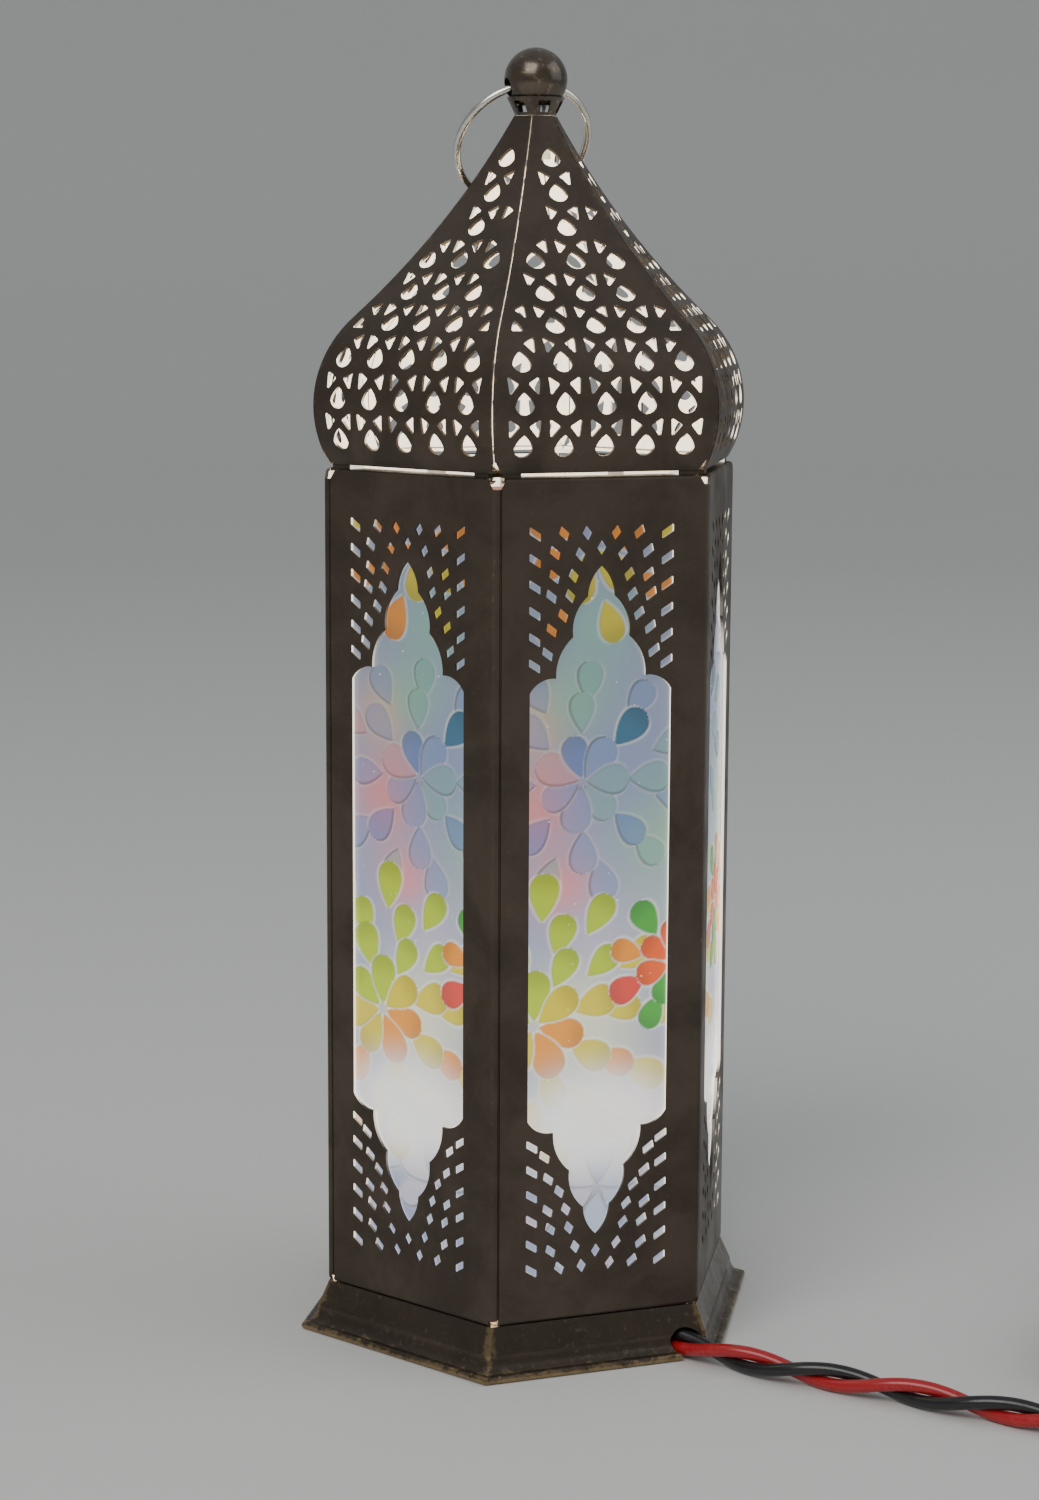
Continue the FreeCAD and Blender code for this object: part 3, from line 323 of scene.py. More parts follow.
def bronze_paint(name, looks, cloud_scale=60.0, corner_wear=0.25, lift=1.0):
    """Satin antique-bronze paint outside; inside, painted lamp light: a cream colour that also shines
    of itself.
    """
    material, n, shader, place = new_material(name)
    spot = grouped(n, "hexagon_place", hexagon_group, Vector=place, Normal=face_normal(n))
    mottle = grouped(n, "mottled_paint", patina_group, Vector=place, Cloud_Scale=cloud_scale)
    wear = grouped(n, "rubbed_edge", wear_group, Vector=place, Distance=spot["Corner"],
                   Width=0.0016, Amount=corner_wear)["Mask"]
    paint = tuple(lift * c for c in looks.paint)
    outside = n.mix(mottle["Cloud"], paint, tuple(lift * c for c in looks.patina))
    outside = n.mix(n.math("MULTIPLY", mottle["Speck"], 0.04), outside, looks.worn)
    outside = n.mix(n.math("MULTIPLY", wear, 0.30), outside, looks.worn)
    # Painted lamp light: where a sheet faces the axis it turns cream.
    colour = n.mix(spot["Inner"], outside, looks.inside)
    n.feed(shader.inputs["Base Color"], colour)
    satin = n.between(mottle["Cloud"], 0.34, 0.50)
    n.feed(shader.inputs["Roughness"], n.math("ADD", satin, n.math("MULTIPLY", wear, -0.08)))
    painted = n.math("SUBTRACT", 1.0, spot["Inner"])
    n.feed(shader.inputs["Metallic"], n.math("MULTIPLY", painted, 0.55))
    # Painted lamp light: that inner side also shines of itself, though it is no lamp.
    n.feed(shader.inputs["Emission Color"], n.mix(spot["Inner"], (0, 0, 0), looks.inside))
    shader.inputs["Emission Strength"].default_value = looks.inside_painted_glow
    n.feed(shader.inputs["Normal"], n.bump(mottle["Peel"], 0.00006, 0.5))
    return material


def skirt_paint(looks):
    """Darker, handled paint: patches, drips of patina and brassy metal on the lip and corners."""
    material, n, shader, place = new_material("skirt_paint")
    spot = grouped(n, "hexagon_place", hexagon_group, Vector=place, Normal=face_normal(n))
    mottle = grouped(n, "mottled_paint", patina_group, Vector=place, Cloud_Scale=110.0)
    lip = grouped(n, "rubbed_edge", wear_group, Vector=place, Distance=spot["Height"],
                  Width=0.0030, Amount=0.62)["Mask"]
    corner = grouped(n, "rubbed_edge", wear_group, Vector=place, Distance=spot["Corner"],
                     Width=0.0024, Amount=0.50)["Mask"]
    wear = n.math("MAXIMUM", lip, corner)
    outside = n.mix(mottle["Cloud"], tuple(0.8 * c for c in looks.paint),
                    tuple(0.9 * c for c in looks.patina))
    outside = n.mix(n.math("MULTIPLY", mottle["Speck"], 0.15), outside, looks.worn)
    outside = n.mix(n.math("MULTIPLY", wear, 0.75), outside, looks.worn)
    colour = n.mix(spot["Inner"], outside, (0.16, 0.13, 0.10))
    n.feed(shader.inputs["Base Color"], colour)
    n.feed(shader.inputs["Roughness"], n.between(mottle["Cloud"], 0.20, 0.32))
    n.feed(shader.inputs["Metallic"], n.between(wear, 0.55, 0.9))
    height = n.math("ADD", mottle["Peel"], n.math("MULTIPLY", mottle["Cloud"], 1.5))
    n.feed(shader.inputs["Normal"], n.bump(height, 0.00010, 0.6))
    return material


def polished_bronze(name, looks, rough):
    """Dark glossy bronze of the ball and its cup, with fine handling marks."""
    material, n, shader, place = new_material(name)
    mottle = grouped(n, "mottled_paint", patina_group, Vector=place, Cloud_Scale=180.0)
    dark = tuple(0.55 * c for c in looks.paint)
    colour = n.mix(mottle["Cloud"], tuple(1.3 * c for c in looks.paint), dark)
    n.feed(shader.inputs["Base Color"], n.mix(n.math("MULTIPLY", mottle["Speck"], 0.5), colour,
                                              looks.worn))
    n.feed(shader.inputs["Roughness"], n.between(mottle["Cloud"], rough, rough + 0.14))
    shader.inputs["Metallic"].default_value = 0.75
    shader.inputs["Coat Weight"].default_value = 0.5
    shader.inputs["Coat Roughness"].default_value = 0.12
    n.feed(shader.inputs["Normal"], n.bump(mottle["Peel"], 0.00004, 0.4))
    return material


def bare_metal(name, colour, rough, streak=(1.0, 1.0, 0.08), tarnish=0.35):
    """Unpainted metal: fine drawn streaks and faint tarnish."""
    material, n, shader, place = new_material(name)
    mapped = n.add("ShaderNodeMapping", {"Vector": place}).outputs[0]
    mapped.node.inputs["Scale"].default_value = streak
    streaks = n.noise(mapped, 2600.0, 2.0)
    cloud = n.noise(place, 240.0, 4.0, 0.6)
    dull = n.math("MULTIPLY", n.ramp(cloud, 0.45, 0.75), tarnish)
    n.feed(shader.inputs["Base Color"], n.mix(dull, colour, tuple(0.45 * c for c in colour)))
    n.feed(shader.inputs["Roughness"], n.between(streaks, rough - 0.06, rough + 0.10))
    shader.inputs["Metallic"].default_value = 1.0
    n.feed(shader.inputs["Normal"], n.bump(streaks, 0.00002, 0.35))
    return material


def moulded(name, colour, rough, grain=1400.0, depth=0.00005):
    """Moulded plastic or rubber: fine spark-eroded grain and a few scuffs."""
    material, n, shader, place = new_material(name)
    texture = n.noise(place, grain, 2.0)
    scuff = n.ramp(n.noise(place, 160.0, 5.0, 0.7, 1.2), 0.58, 0.75)
    paler = tuple(min(1.0, 1.25 * c + 0.015) for c in colour)
    n.feed(shader.inputs["Base Color"], n.mix(n.math("MULTIPLY", scuff, 0.6), colour, paler))
    n.feed(shader.inputs["Roughness"], n.between(scuff, rough, min(1.0, rough + 0.15)))
    n.feed(shader.inputs["Normal"], n.bump(texture, depth, 0.5))
    return material


def cable_skin(name, colour):
    """Soft glossy insulation with faint wires showing through and dust in places."""
    material, n, shader, place = new_material(name)
    waves = n.noise(place, 500.0, 3.0, 0.5, 0.8)
    dust = n.ramp(n.noise(place, 130.0, 4.0, 0.65), 0.56, 0.74)
    paler = tuple(min(1.0, 1.5 * c + 0.02) for c in colour)
    n.feed(shader.inputs["Base Color"], n.mix(n.math("MULTIPLY", dust, 0.35), colour, paler))
    n.feed(shader.inputs["Roughness"], n.between(dust, 0.26, 0.44))
    shader.inputs["Coat Weight"].default_value = 0.25
    shader.inputs["Coat Roughness"].default_value = 0.2
    n.feed(shader.inputs["Normal"], n.bump(waves, 0.00008, 0.45))
    return material


def lit_glass(strength):
    """Frosted envelope of the lamp, alight."""
    material, n, shader, place = new_material("lit_frosted_glass")
    frost = n.noise(place, 900.0, 3.0)
    n.feed(shader.inputs["Base Color"], n.mix(frost, (0.92, 0.90, 0.86), (1.0, 0.98, 0.93)))
    n.feed(shader.inputs["Roughness"], n.between(frost, 0.35, 0.55))
    n.feed(shader.inputs["Emission Color"], n.mix(frost, (1.0, 0.86, 0.66), (1.0, 0.90, 0.74)))
    shader.inputs["Emission Strength"].default_value = strength
    n.feed(shader.inputs["Normal"], n.bump(frost, 0.00003, 0.4))
    return material


def pane_resin(panes):
    """Printed resin given painted lamp light: the piece's own colour attribute, which holds the
    printed pattern with painted lamp light and painted shade, is both its colour and its emission.
    """
    material, n, shader, place = new_material("printed_resin")
    # The colour attribute holds the printed pattern with painted lamp light and painted shade.
    printed = n.add("ShaderNodeVertexColor", layer_name="print_and_painted_light").outputs["Color"]
    specks = n.add("ShaderNodeTexVoronoi", {"Vector": place, "Scale": 420.0}).outputs["Distance"]
    bubble = n.math("MULTIPLY", n.ramp(specks, 0.10, 0.05),
                    n.ramp(n.noise(place, 90.0, 2.0), 0.50, 0.62))
    shown = n.mix(n.math("MULTIPLY", bubble, 0.75), printed, (1.0, 1.0, 1.0))
    n.feed(shader.inputs["Base Color"], n.mix(0.55, shown, (0.02, 0.02, 0.02)))
    # Painted lamp light: the pane shines with its own colours, though it is no lamp.
    n.feed(shader.inputs["Emission Color"], shown)
    shader.inputs["Emission Strength"].default_value = panes.painted_glow
    wavy = n.noise(place, 260.0, 3.0)
    n.feed(shader.inputs["Roughness"], n.between(wavy, 0.14, 0.30))
    height = n.math("ADD", wavy, n.math("MULTIPLY", bubble, 0.6))
    n.feed(shader.inputs["Normal"], n.bump(height, 0.00012, 0.5))
    return material


def paint_nodes(material, *prefixes):
    """The finish of every CAD node whose name starts with one of the prefixes."""
    for name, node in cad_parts.items():
        if name.startswith(prefixes):
            node.data.materials.clear()
            node.data.materials.append(material)


# ---- printed panes -------------------------------------------------------------------------

class Flower:
    """Rings of drop-shaped petals that point at one centre. Each ring is (inner radius, outer
    radius, width, count, first petal's direction), in millimetres and degrees; shade gives a
    petal's colour and strength from its direction and its ring."""

    def __init__(self, centre, rings, shade):
        self.centre = np.array(centre, float)
        self.rings = rings
        self.shade = shade

    def petals(self):
        for ring, (inner, outer, width, count, first) in enumerate(self.rings):
            for i in range(count):
                angle = first + 360.0 * i / count
                wobble = math.sin(2.7 * i + 1.9 * ring)
                yield inner, outer + 0.5 * wobble, width * (1 + 0.08 * wobble), angle, ring


BLUE = (0.05, 0.14, 0.42)
TEAL = (0.01, 0.13, 0.22)
SKY = (0.14, 0.24, 0.48)
MINT = (0.16, 0.40, 0.30)
ROSE = (0.70, 0.26, 0.24)
LIME = (0.42, 0.56, 0.0)
GREEN = (0.03, 0.34, 0.0)
YELLOW = (0.66, 0.54, 0.0)
AMBER = (0.82, 0.27, 0.0)
ORANGE = (0.80, 0.10, 0.0)
RED = (0.70, 0.02, 0.0)


def blue_shade(angle, ring):
    """Strong blues on the left of the inner ring, washed-out petals elsewhere."""
    turn = angle % 360
    if ring == 0 and (90 < turn < 120 or 210 < turn < 250):
        return BLUE, 0.62
    if ring == 1 and 30 < turn < 62:
        return TEAL, 0.85
    if ring == 1 and (200 < turn < 235 or 295 < turn < 320):
        return BLUE, 0.48
    if 140 < turn < 200:
        return (ROSE if turn < 170 else SKY), 0.42
    return (SKY if int(turn / 37) % 2 else MINT), 0.42


def lime_shade(angle, ring):
    """Lime above, yellow at the sides, amber below."""
    turn = (angle + 360) % 360
    if 18 < turn < 150:
        return YELLOW if (ring + int(turn / 24)) % 3 == 1 else LIME, 0.95
    if turn < 18 or turn > 335:
        return YELLOW if ring != 0 else AMBER, 0.92
    return AMBER if (ring + int(turn / 30)) % 2 else YELLOW, 0.9


def orange_shade(angle, ring):
    """Oranges and reds, with green and lime below."""
    turn = (angle + 360) % 360
    if 225 < turn < 300:
        return (GREEN if turn < 252 else LIME), 0.9
    if 112 < turn < 128:
        return GREEN, 0.9
    if 200 < turn < 225:
        return RED, 0.9
    return (ORANGE if (ring + int(turn / 28)) % 2 else AMBER), 0.95


def pale_shade(angle, ring):
    """Faint blue, grey and pink petals."""
    turn = (angle + 360) % 360
    if 30 < turn < 60:
        return TEAL, 0.5
    if 70 < turn < 95:
        return SKY, 0.45
    return ((0.86, 0.74, 0.74) if int(turn / 40) % 2 else (0.66, 0.76, 0.82)), 0.35


FLOWERS = (
    Flower((16.3, 79.6), ((1.2, 8.4, 5.0, 7, 197.0), (6.8, 14.4, 5.2, 9, 124.0)), orange_shade),
    Flower((-12.9, 69.0), ((1.0, 10.8, 6.2, 7, 37.0), (8.4, 17.2, 5.9, 8, 17.0),
                           (14.2, 22.6, 5.6, 11, 40.0), (20.4, 29.6, 5.8, 13, 58.0)), lime_shade),
    Flower((-3.3, 116.3), ((0.7, 9.6, 5.9, 7, 2.0), (9.4, 17.8, 5.6, 8, 46.0),
                           (15.4, 23.6, 5.6, 11, 86.0)), blue_shade),
    Flower((0.4, 35.5), ((0.8, 9.6, 5.8, 6, 85.0), (9.0, 17.4, 5.6, 9, 45.0)), pale_shade),
    Flower((-2.6, 162.5), ((2.6, 12.2, 5.8, 7, 262.0), (12.0, 21.0, 5.6, 9, 247.0)), lime_shade),
)

# Soft clouds of colour in the ground: (across, height, radius, colour, strength).
CLOUDS = (
    (-12.0, 112.0, 8.0, (0.86, 0.24, 0.20), 0.75),
    (-7.0, 96.0, 6.5, (0.88, 0.24, 0.22), 0.7),
    (-12.0, 128.0, 7.0, (0.86, 0.42, 0.20), 0.65),
    (-5.0, 132.0, 8.0, (0.26, 0.52, 0.36), 0.75),
    (12.0, 106.0, 9.0, (0.30, 0.52, 0.28), 0.7),
    (4.0, 118.0, 12.0, (0.22, 0.28, 0.48), 0.6),
    (0.0, 146.0, 8.0, (0.24, 0.50, 0.38), 0.7),
    (12.0, 90.0, 8.0, (0.42, 0.54, 0.42), 0.5),
    (8.0, 50.0, 9.0, (0.92, 0.52, 0.48), 0.5),
    (0.0, 86.0, 8.0, (0.52, 0.44, 0.60), 0.5),
    (-3.0, 68.0, 13.0, (0.86, 0.84, 0.56), 0.75),
)
# Where the lamp behind washes the print out: height, half height, half width, strength.
HOT_SPOT = (49.0, 12.5, 13.0, 1.0)


PETAL_PEAK = 2.598      # makes the greatest of t sqrt(1 - t) come to 1
HALO = np.array((1.0, 0.97, 0.86))
LAMP_WHITE = np.array((1.0, 0.99, 0.96))
STRONG = 0.5            # a petal stronger than this shades towards its round end


def petal_field(u, z, tip, direction, length, width):
    """How far inside a petal each point lies, in millimetres: the petal's half width, which grows
    from nothing at its tip and closes in a round end, less the distance from its middle line."""
    du, dz = u - tip[0], z - tip[1]
    along = (du * direction[0] + dz * direction[1]) / length
    across = np.abs(-du * direction[1] + dz * direction[0])
    t = np.clip(along, 0, 1)
    half = width / 2 * PETAL_PEAK * t * np.sqrt(1 - t)
    inside = half - across
    return np.where((along > 0) & (along < 1), inside, -np.maximum(across, 1.0)), t


def pane_print(u, z, ground):
    """Colour and relief of the printed pattern at points (u, z) in millimetres: a clouded ground,
    then each petal mixed over it with a soft edge, a halo round strong petals and painted shade along
    one side of every petal's rim, heaviest on faint ones."""
    colour = np.ones(u.shape + (3,)) * np.array(ground)
    for cu, cz, radius, tint, strength in CLOUDS:
        weight = strength * np.exp(-((u - cu) ** 2 + (z - cz) ** 2) / radius ** 2)
        colour += (np.array(tint) - colour) * weight[..., None]
    relief = np.zeros(u.shape)
    covered = np.zeros(u.shape)
    for flower in FLOWERS:
        for inner, outer, width, angle, ring in flower.petals():
            direction = np.array([math.cos(math.radians(angle)), math.sin(math.radians(angle))])
            tip = flower.centre + inner * direction
            inside, t = petal_field(u, z, tip, direction, outer - inner, width)
            free = 1 - smoothstep(0.1, 0.9, covered)
            mask = smoothstep(-0.12, 0.22, inside) * free
            if mask.max() <= 0:
                continue
            tint, strength = flower.shade(angle, ring)
            deep = 1 - (0.28 if strength > STRONG else 0.0) * smoothstep(0.45, 0.95, t)
            halo = smoothstep(-0.75, -0.2, inside) * free * (1 - mask)
            pale = 0.45 * strength * halo
            colour += (HALO - colour) * pale[..., None]
            body = np.array(tint) * deep[..., None]
            colour += (body - colour) * (mask * strength)[..., None]
            # Painted shade: a dark line along one side of each petal's rim.
            rim = smoothstep(-0.35, 0.0, inside) * (1 - smoothstep(0.1, 0.55, inside)) * free
            shade = (0.5 if strength < STRONG else 0.16) * rim * painted_shade_side(u, z, tip, direction)
            colour *= 1 - shade[..., None]
            relief = np.maximum(relief, smoothstep(-0.1, 0.6, inside) * free)
            covered = np.maximum(covered, smoothstep(-0.5, 0.0, inside))
    return colour, relief


def painted_shade_side(u, z, tip, direction):
    """Painted shade on a petal's rim, standing in for the shade of its raised drop: 1 on the side of
    its middle line that looks left and down, 0.25 on the other.
    """
    side = -(u - tip[0]) * direction[1] + (z - tip[1]) * direction[0]
    lean = np.sign(-direction[1] * -0.6 + direction[0] * -0.8 + 1e-6)
    return 0.25 + 0.75 * smoothstep(-0.4, 0.4, side * lean)


def lamp_wash(u, z):
    """Share of plain lamp light that drowns the print, highest beside the lamp."""
    height, tall, wide, strength = HOT_SPOT
    hot = np.exp(-((z - height) / tall) ** 2 - (u / (1.5 * wide)) ** 2)
    return strength * smoothstep(0.12, 0.92, hot)


# Where each pane is cut from the one printed sheet, in millimetres from the front pane's place.
PANE_SHIFTS = ((0.0, 0.0), (-9.0, 6.0), (4.0, -5.0), (-5.0, 3.0), (9.0, -3.0), (5.6, -0.4))


def pane_mesh(index, panes):
    """One pane: its printed outer side is a grid over (u, z) whose drops stand up by the relief,
    its plain inner side is flat, and walls close it all round."""
    low, high = (np.array(corner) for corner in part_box("pane_front"))
    half_width = high[0]
    outer, inner = -low[1], -high[1]
    columns = int(round(2 * half_width / panes.step))
    rows = int(round((high[2] - low[2]) / panes.step))
    across = np.linspace(-half_width, half_width, columns + 1)
    up = np.linspace(low[2], high[2], rows + 1)
    u, z = np.meshgrid(across, up)
    shift_u, shift_z = PANE_SHIFTS[index]
    colour, relief = pane_print(u / MM - shift_u, z / MM - shift_z, tuple(panes.ground))
    # Painted lamp light baked into the colour: darker towards the top of the pane and washed towards
    # white beside the lamp.
    wash = lamp_wash(u / MM, z / MM)
    painted_glow = 0.62 + 0.38 * smoothstep(150, 60, z / MM)
    colour = colour * painted_glow[..., None]
    colour += (LAMP_WHITE - colour) * (0.9 * wash)[..., None]
    edge = (u == across[0]) | (u == across[-1]) | (z == up[0]) | (z == up[-1])
    depth = outer - panes.relief * np.where(edge, 0, 1 - relief)
    front = np.stack([u, -depth, z], -1).reshape(-1, 3)
    wide = columns + 1
    left = np.stack([np.full(rows + 1, -half_width), np.full(rows + 1, -inner), up], -1)
    right = left * np.array([-1, 1, 1])
    points = np.concatenate([front, left, right])
    cell = (np.arange(rows)[:, None] * wide + np.arange(columns)[None, :]).ravel()
    quads = np.stack([cell, cell + 1, cell + wide + 1, cell + wide], -1)
    first_left = wide * (rows + 1)
    first_right = first_left + rows + 1
    row = np.arange(rows)
    back = np.stack([first_right + row, first_left + row, first_left + row + 1,
                     first_right + row + 1], -1)
    left_wall = np.stack([first_left + row, row * wide, (row + 1) * wide, first_left + row + 1], -1)
    end = row * wide + columns
    right_wall = np.stack([end, first_right + row, first_right + row + 1, end + wide], -1)
    faces = np.concatenate([quads, back, left_wall, right_wall]).tolist()
    bottom = list(range(columns, -1, -1)) + [first_left, first_right]
    top = [rows * wide + i for i in range(wide)] + [first_right + rows, first_left + rows]
    faces += [bottom, top]
    piece = new_piece("pane_print_" + FACES[index], turn_about_z(points, 60.0 * index), faces)
    # The printed pattern, its painted shade and its painted lamp light go into the colour attribute.
    ends = np.concatenate([colour.reshape(-1, 3), colour[:, 0], colour[:, -1]])
    rgba = np.concatenate([np.clip(ends, 0, 1), np.ones((len(ends), 1))], 1)
    layer = piece.data.color_attributes.new("print_and_painted_light", "FLOAT_COLOR", "POINT")
    layer.data.foreach_set("color", rgba.astype(np.float32).ravel())
    piece.data.set_sharp_from_angle(angle=math.radians(50))
    return piece


# ---- the lead ------------------------------------------------------------------------------
# Control points in metres: out of the skirt and over the floor, then the coil's turns, then in
# and up to the plug that lies on the coil.
REST = 0.0027
ROUTE = [
    (0.0130, -0.0296, REST), (0.0166, -0.0363, REST), (0.0205, -0.0438, REST),
    (0.0266, -0.0538, REST), (0.0348, -0.0636, REST), (0.0444, -0.0732, REST),
    (0.0522, -0.0830, REST), (0.0606, -0.0926, REST), (0.0685, -0.1002, REST),
    (0.0773, -0.1060, REST), (0.0870, -0.1104, REST), (0.0975, -0.1139, REST),
]
TAIL = [
    (0.1196, -0.1113, 0.0129), (0.1282, -0.1095, 0.0143), (0.1357, -0.1048, 0.0166),
    (0.1411, -0.0979, 0.0192), (0.1438, -0.0895, 0.0214), (0.1441, -0.0817, 0.0224),
    (0.1441, -0.0767, 0.0224),
]
COIL_CENTRE = np.array([0.1191, -0.0847])
COIL_START = 251.8
COIL_TURNS = 7.0
# The coil's turns in order, as (radius, height) in metres: three on the floor from the outside
# in, three on top of them from the inside out, then one above those and the way in to the plug.
TURNS = ((0.0344, 0.0027), (0.0290, 0.0027), (0.0236, 0.0027), (0.0236, 0.0081),
         (0.0290, 0.0081), (0.0344, 0.0081), (0.0317, 0.0128), (0.0263, 0.0128))
POINTS_PER_TURN = 24
FIRST_TWIST = 200.0     # where round the pair the red core starts, in degrees
CORE_SHARE = 0.97       # leaves a hair's width between the two cores


def coil_points():
    """The coil's control points. The radius and height step smoothly from one turn to the next
    over a third of a turn, and the radius is a little over the real one, because the spline
    passes inside its points."""
    turned = np.linspace(0, COIL_TURNS, int(COIL_TURNS * POINTS_PER_TURN) + 1)
    degrees = COIL_START + 360.0 * turned
    turn = np.minimum(turned.astype(int), len(TURNS) - 1)
    onward = np.minimum(turn + 1, len(TURNS) - 1)
    change = smoothstep(0.66, 1.0, turned - turn)
    table = np.array(TURNS)
    radius = table[turn, 0] + (table[onward, 0] - table[turn, 0]) * change
    height = table[turn, 1] + (table[onward, 1] - table[turn, 1]) * change
    # Where the cord crosses over the turn below, it rides up in a low hump.
    crossing = (turn == 6) * np.sin(np.pi * np.clip((turned - turn - 0.62) / 0.38, 0, 1))
    height = height + 0.0008 * crossing
    swell = 1 / (1 - (1 - math.cos(math.radians(180 / POINTS_PER_TURN))) * 0.75)
    angle = np.radians(degrees)
    return np.stack([COIL_CENTRE[0] + swell * radius * np.cos(angle),
                     COIL_CENTRE[1] + swell * radius * np.sin(angle), height], -1)


def lead_path():
    """Points along the lead's spline, about a millimetre apart."""
    control = ROUTE + coil_points().tolist() + TAIL
    curve = bpy.data.curves.new("lead_route", "CURVE")
    curve.dimensions = "3D"
    spline = curve.splines.new("NURBS")
    spline.points.add(len(control) - 1)
    for point, place in zip(spline.points, control):
        point.co = (*place, 1.0)
    spline.order_u = 3
    spline.use_endpoint_u = True
    spline.resolution_u = 8
    route = bpy.data.objects.new("lead_route", curve)
    bpy.context.scene.collection.objects.link(route)
    bpy.context.view_layer.update()
    line = bpy.data.meshes.new_from_object(route)
    points = np.zeros(len(line.vertices) * 3)
    line.vertices.foreach_get("co", points)
    bpy.data.meshes.remove(line)
    bpy.data.objects.remove(route)
    bpy.data.curves.remove(curve)
    points = points.reshape(-1, 3)
    steps = np.concatenate([[0], np.cumsum(np.linalg.norm(np.diff(points, axis=0), axis=1))])
    even = np.linspace(0, steps[-1], int(steps[-1] / 0.001))
    path = np.stack([np.interp(even, steps, points[:, i]) for i in range(3)], -1)
    return path, even


def frames_along(path):
    """Level sideways direction, and the one square to it and to the path, at each point."""
    tangent = unit(np.gradient(path, axis=0))
    side = unit(np.cross(tangent, np.array([0.0, 0.0, 1.0])))
    return side, np.cross(side, tangent)


def tube(path, radius, around=12):
    """A round tube about the path with flat ends: circles of points square to the path."""
    side, lift = frames_along(path)
    angle = np.linspace(0, 2 * np.pi, around, endpoint=False)
    ring = (np.cos(angle)[None, :, None] * side[:, None]
            + np.sin(angle)[None, :, None] * lift[:, None])
    points = (path[:, None] + radius * ring).reshape(-1, 3)
    rows = len(path) - 1
    here = (np.arange(rows)[:, None] * around + np.arange(around)[None, :]).ravel()
    beside = (np.arange(rows)[:, None] * around + (np.arange(around) + 1)[None, :] % around).ravel()
    faces = np.stack([here, here + around, beside + around, beside], -1).tolist()
    faces.append(list(range(around)))
    faces.append([rows * around + i for i in range(around - 1, -1, -1)])
    return points, faces


def twisted_lead(lead):
    """Two cores twisted about the lead's spline, each a core's radius from it."""
    path, along = lead_path()
    side, lift = frames_along(path)
    radius = lead.core_diameter / 2
    phase = 2 * np.pi * along / lead.lay + math.radians(FIRST_TWIST)
    points, faces, slots = [], [], []
    for strand in (0, 1):
        turn = (phase + strand * np.pi)[:, None]
        centre = path + radius * (np.cos(turn) * side + np.sin(turn) * lift)
        strand_points, strand_faces = tube(centre, CORE_SHARE * radius)
        first = sum(len(p) for p in points)
        points.append(strand_points)
        faces += [[first + i for i in face] for face in strand_faces]
        slots += [strand] * len(strand_faces)
    piece = new_piece("mains_lead", np.concatenate(points), faces)
    piece.data.materials.append(cable_skin("red_insulation", tuple(lead.red)))
    piece.data.materials.append(cable_skin("black_insulation", tuple(lead.black)))
    piece.data.polygons.foreach_set("material_index", slots)
    piece.data.set_sharp_from_angle(angle=math.radians(60))
    return piece, path


# ---- operators -----------------------------------------------------------------------------

class LanternOperator:
    bl_options = {"REGISTER", "UNDO"}

    def looks(self, context):
        return context.scene.lantern_metal


class LANTERN_OT_stage(LanternOperator, bpy.types.Operator):
    """Floor, backdrop, soft lights and the camera"""
    bl_idname = "lantern.stage"
    bl_label = "Stage"

    def execute(self, context):
        stage = context.scene.lantern_stage
        make_camera(context.scene)
        floor = sweep_floor()
        floor.data.materials.append(floor_finish(tuple(stage.floor)))
        soft_light("key_light", (-0.85, -0.9, 1.25), 1.1, stage.key, (1.0, 0.985, 0.96))
        soft_light("fill_light", (1.15, -0.55, 0.8), 1.2, stage.fill, (0.94, 0.97, 1.0))
        studio_surroundings(context.scene, stage.sky)
        return {"FINISHED"}


class LANTERN_OT_lead(LanternOperator, bpy.types.Operator):
    """Twisted red and black lead, from the skirt to the plug, coiled and tied"""
    bl_idname = "lantern.lead"
    bl_label = "Twisted lead"

    def execute(self, context):
        lead = context.scene.lantern_lead
        piece, path = twisted_lead(lead)
        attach(piece, "base")
        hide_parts("lead_tube", "lead_coil", "lead_tail")
        return {"FINISHED"}


class LANTERN_OT_panes(LanternOperator, bpy.types.Operator):
    """Six printed resin panes behind the windows"""
    bl_idname = "lantern.panes"
    bl_label = "Printed panes"

    def execute(self, context):
        panes = context.scene.lantern_panes
        resin = pane_resin(panes)
        for index, face in enumerate(FACES):
            piece = pane_mesh(index, panes)
            piece.data.materials.append(resin)
            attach(piece, "shell")
            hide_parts("pane_" + face)
        return {"FINISHED"}


class LANTERN_OT_body(LanternOperator, bpy.types.Operator):
    """Bronze paint on the pierced body and dome, with the hardware that joins them"""
    bl_idname = "lantern.body"
    bl_label = "Body and dome finishes"

    def execute(self, context):
        looks = self.looks(context)
        paint_nodes(bronze_paint("body_paint", looks), "panel_")
        paint_nodes(bronze_paint("dome_paint", looks, cloud_scale=75.0, corner_wear=0.35), "petal_")
        paint_nodes(bronze_paint("rim_paint", looks, corner_wear=0.0), "rim_")
        paint_nodes(bare_metal("zinc_plate", (0.52, 0.52, 0.50), 0.38), "pane_tabs", "neck_",
                    "finial_stem")
        return {"FINISHED"}


class LANTERN_OT_finial(LanternOperator, bpy.types.Operator):
    """Ball, cup and hanging ring"""
    bl_idname = "lantern.finial"
    bl_label = "Finial finishes"

    def execute(self, context):
        looks = self.looks(context)
        paint_nodes(polished_bronze("ball_bronze", looks, 0.22), "finial_ball")
        paint_nodes(polished_bronze("cup_bronze", looks, 0.34), "finial_cup")
        paint_nodes(bare_metal("drawn_wire", (0.78, 0.76, 0.70), 0.20, (1, 1, 1), 0.5),
                    "hanging_ring")
        return {"FINISHED"}


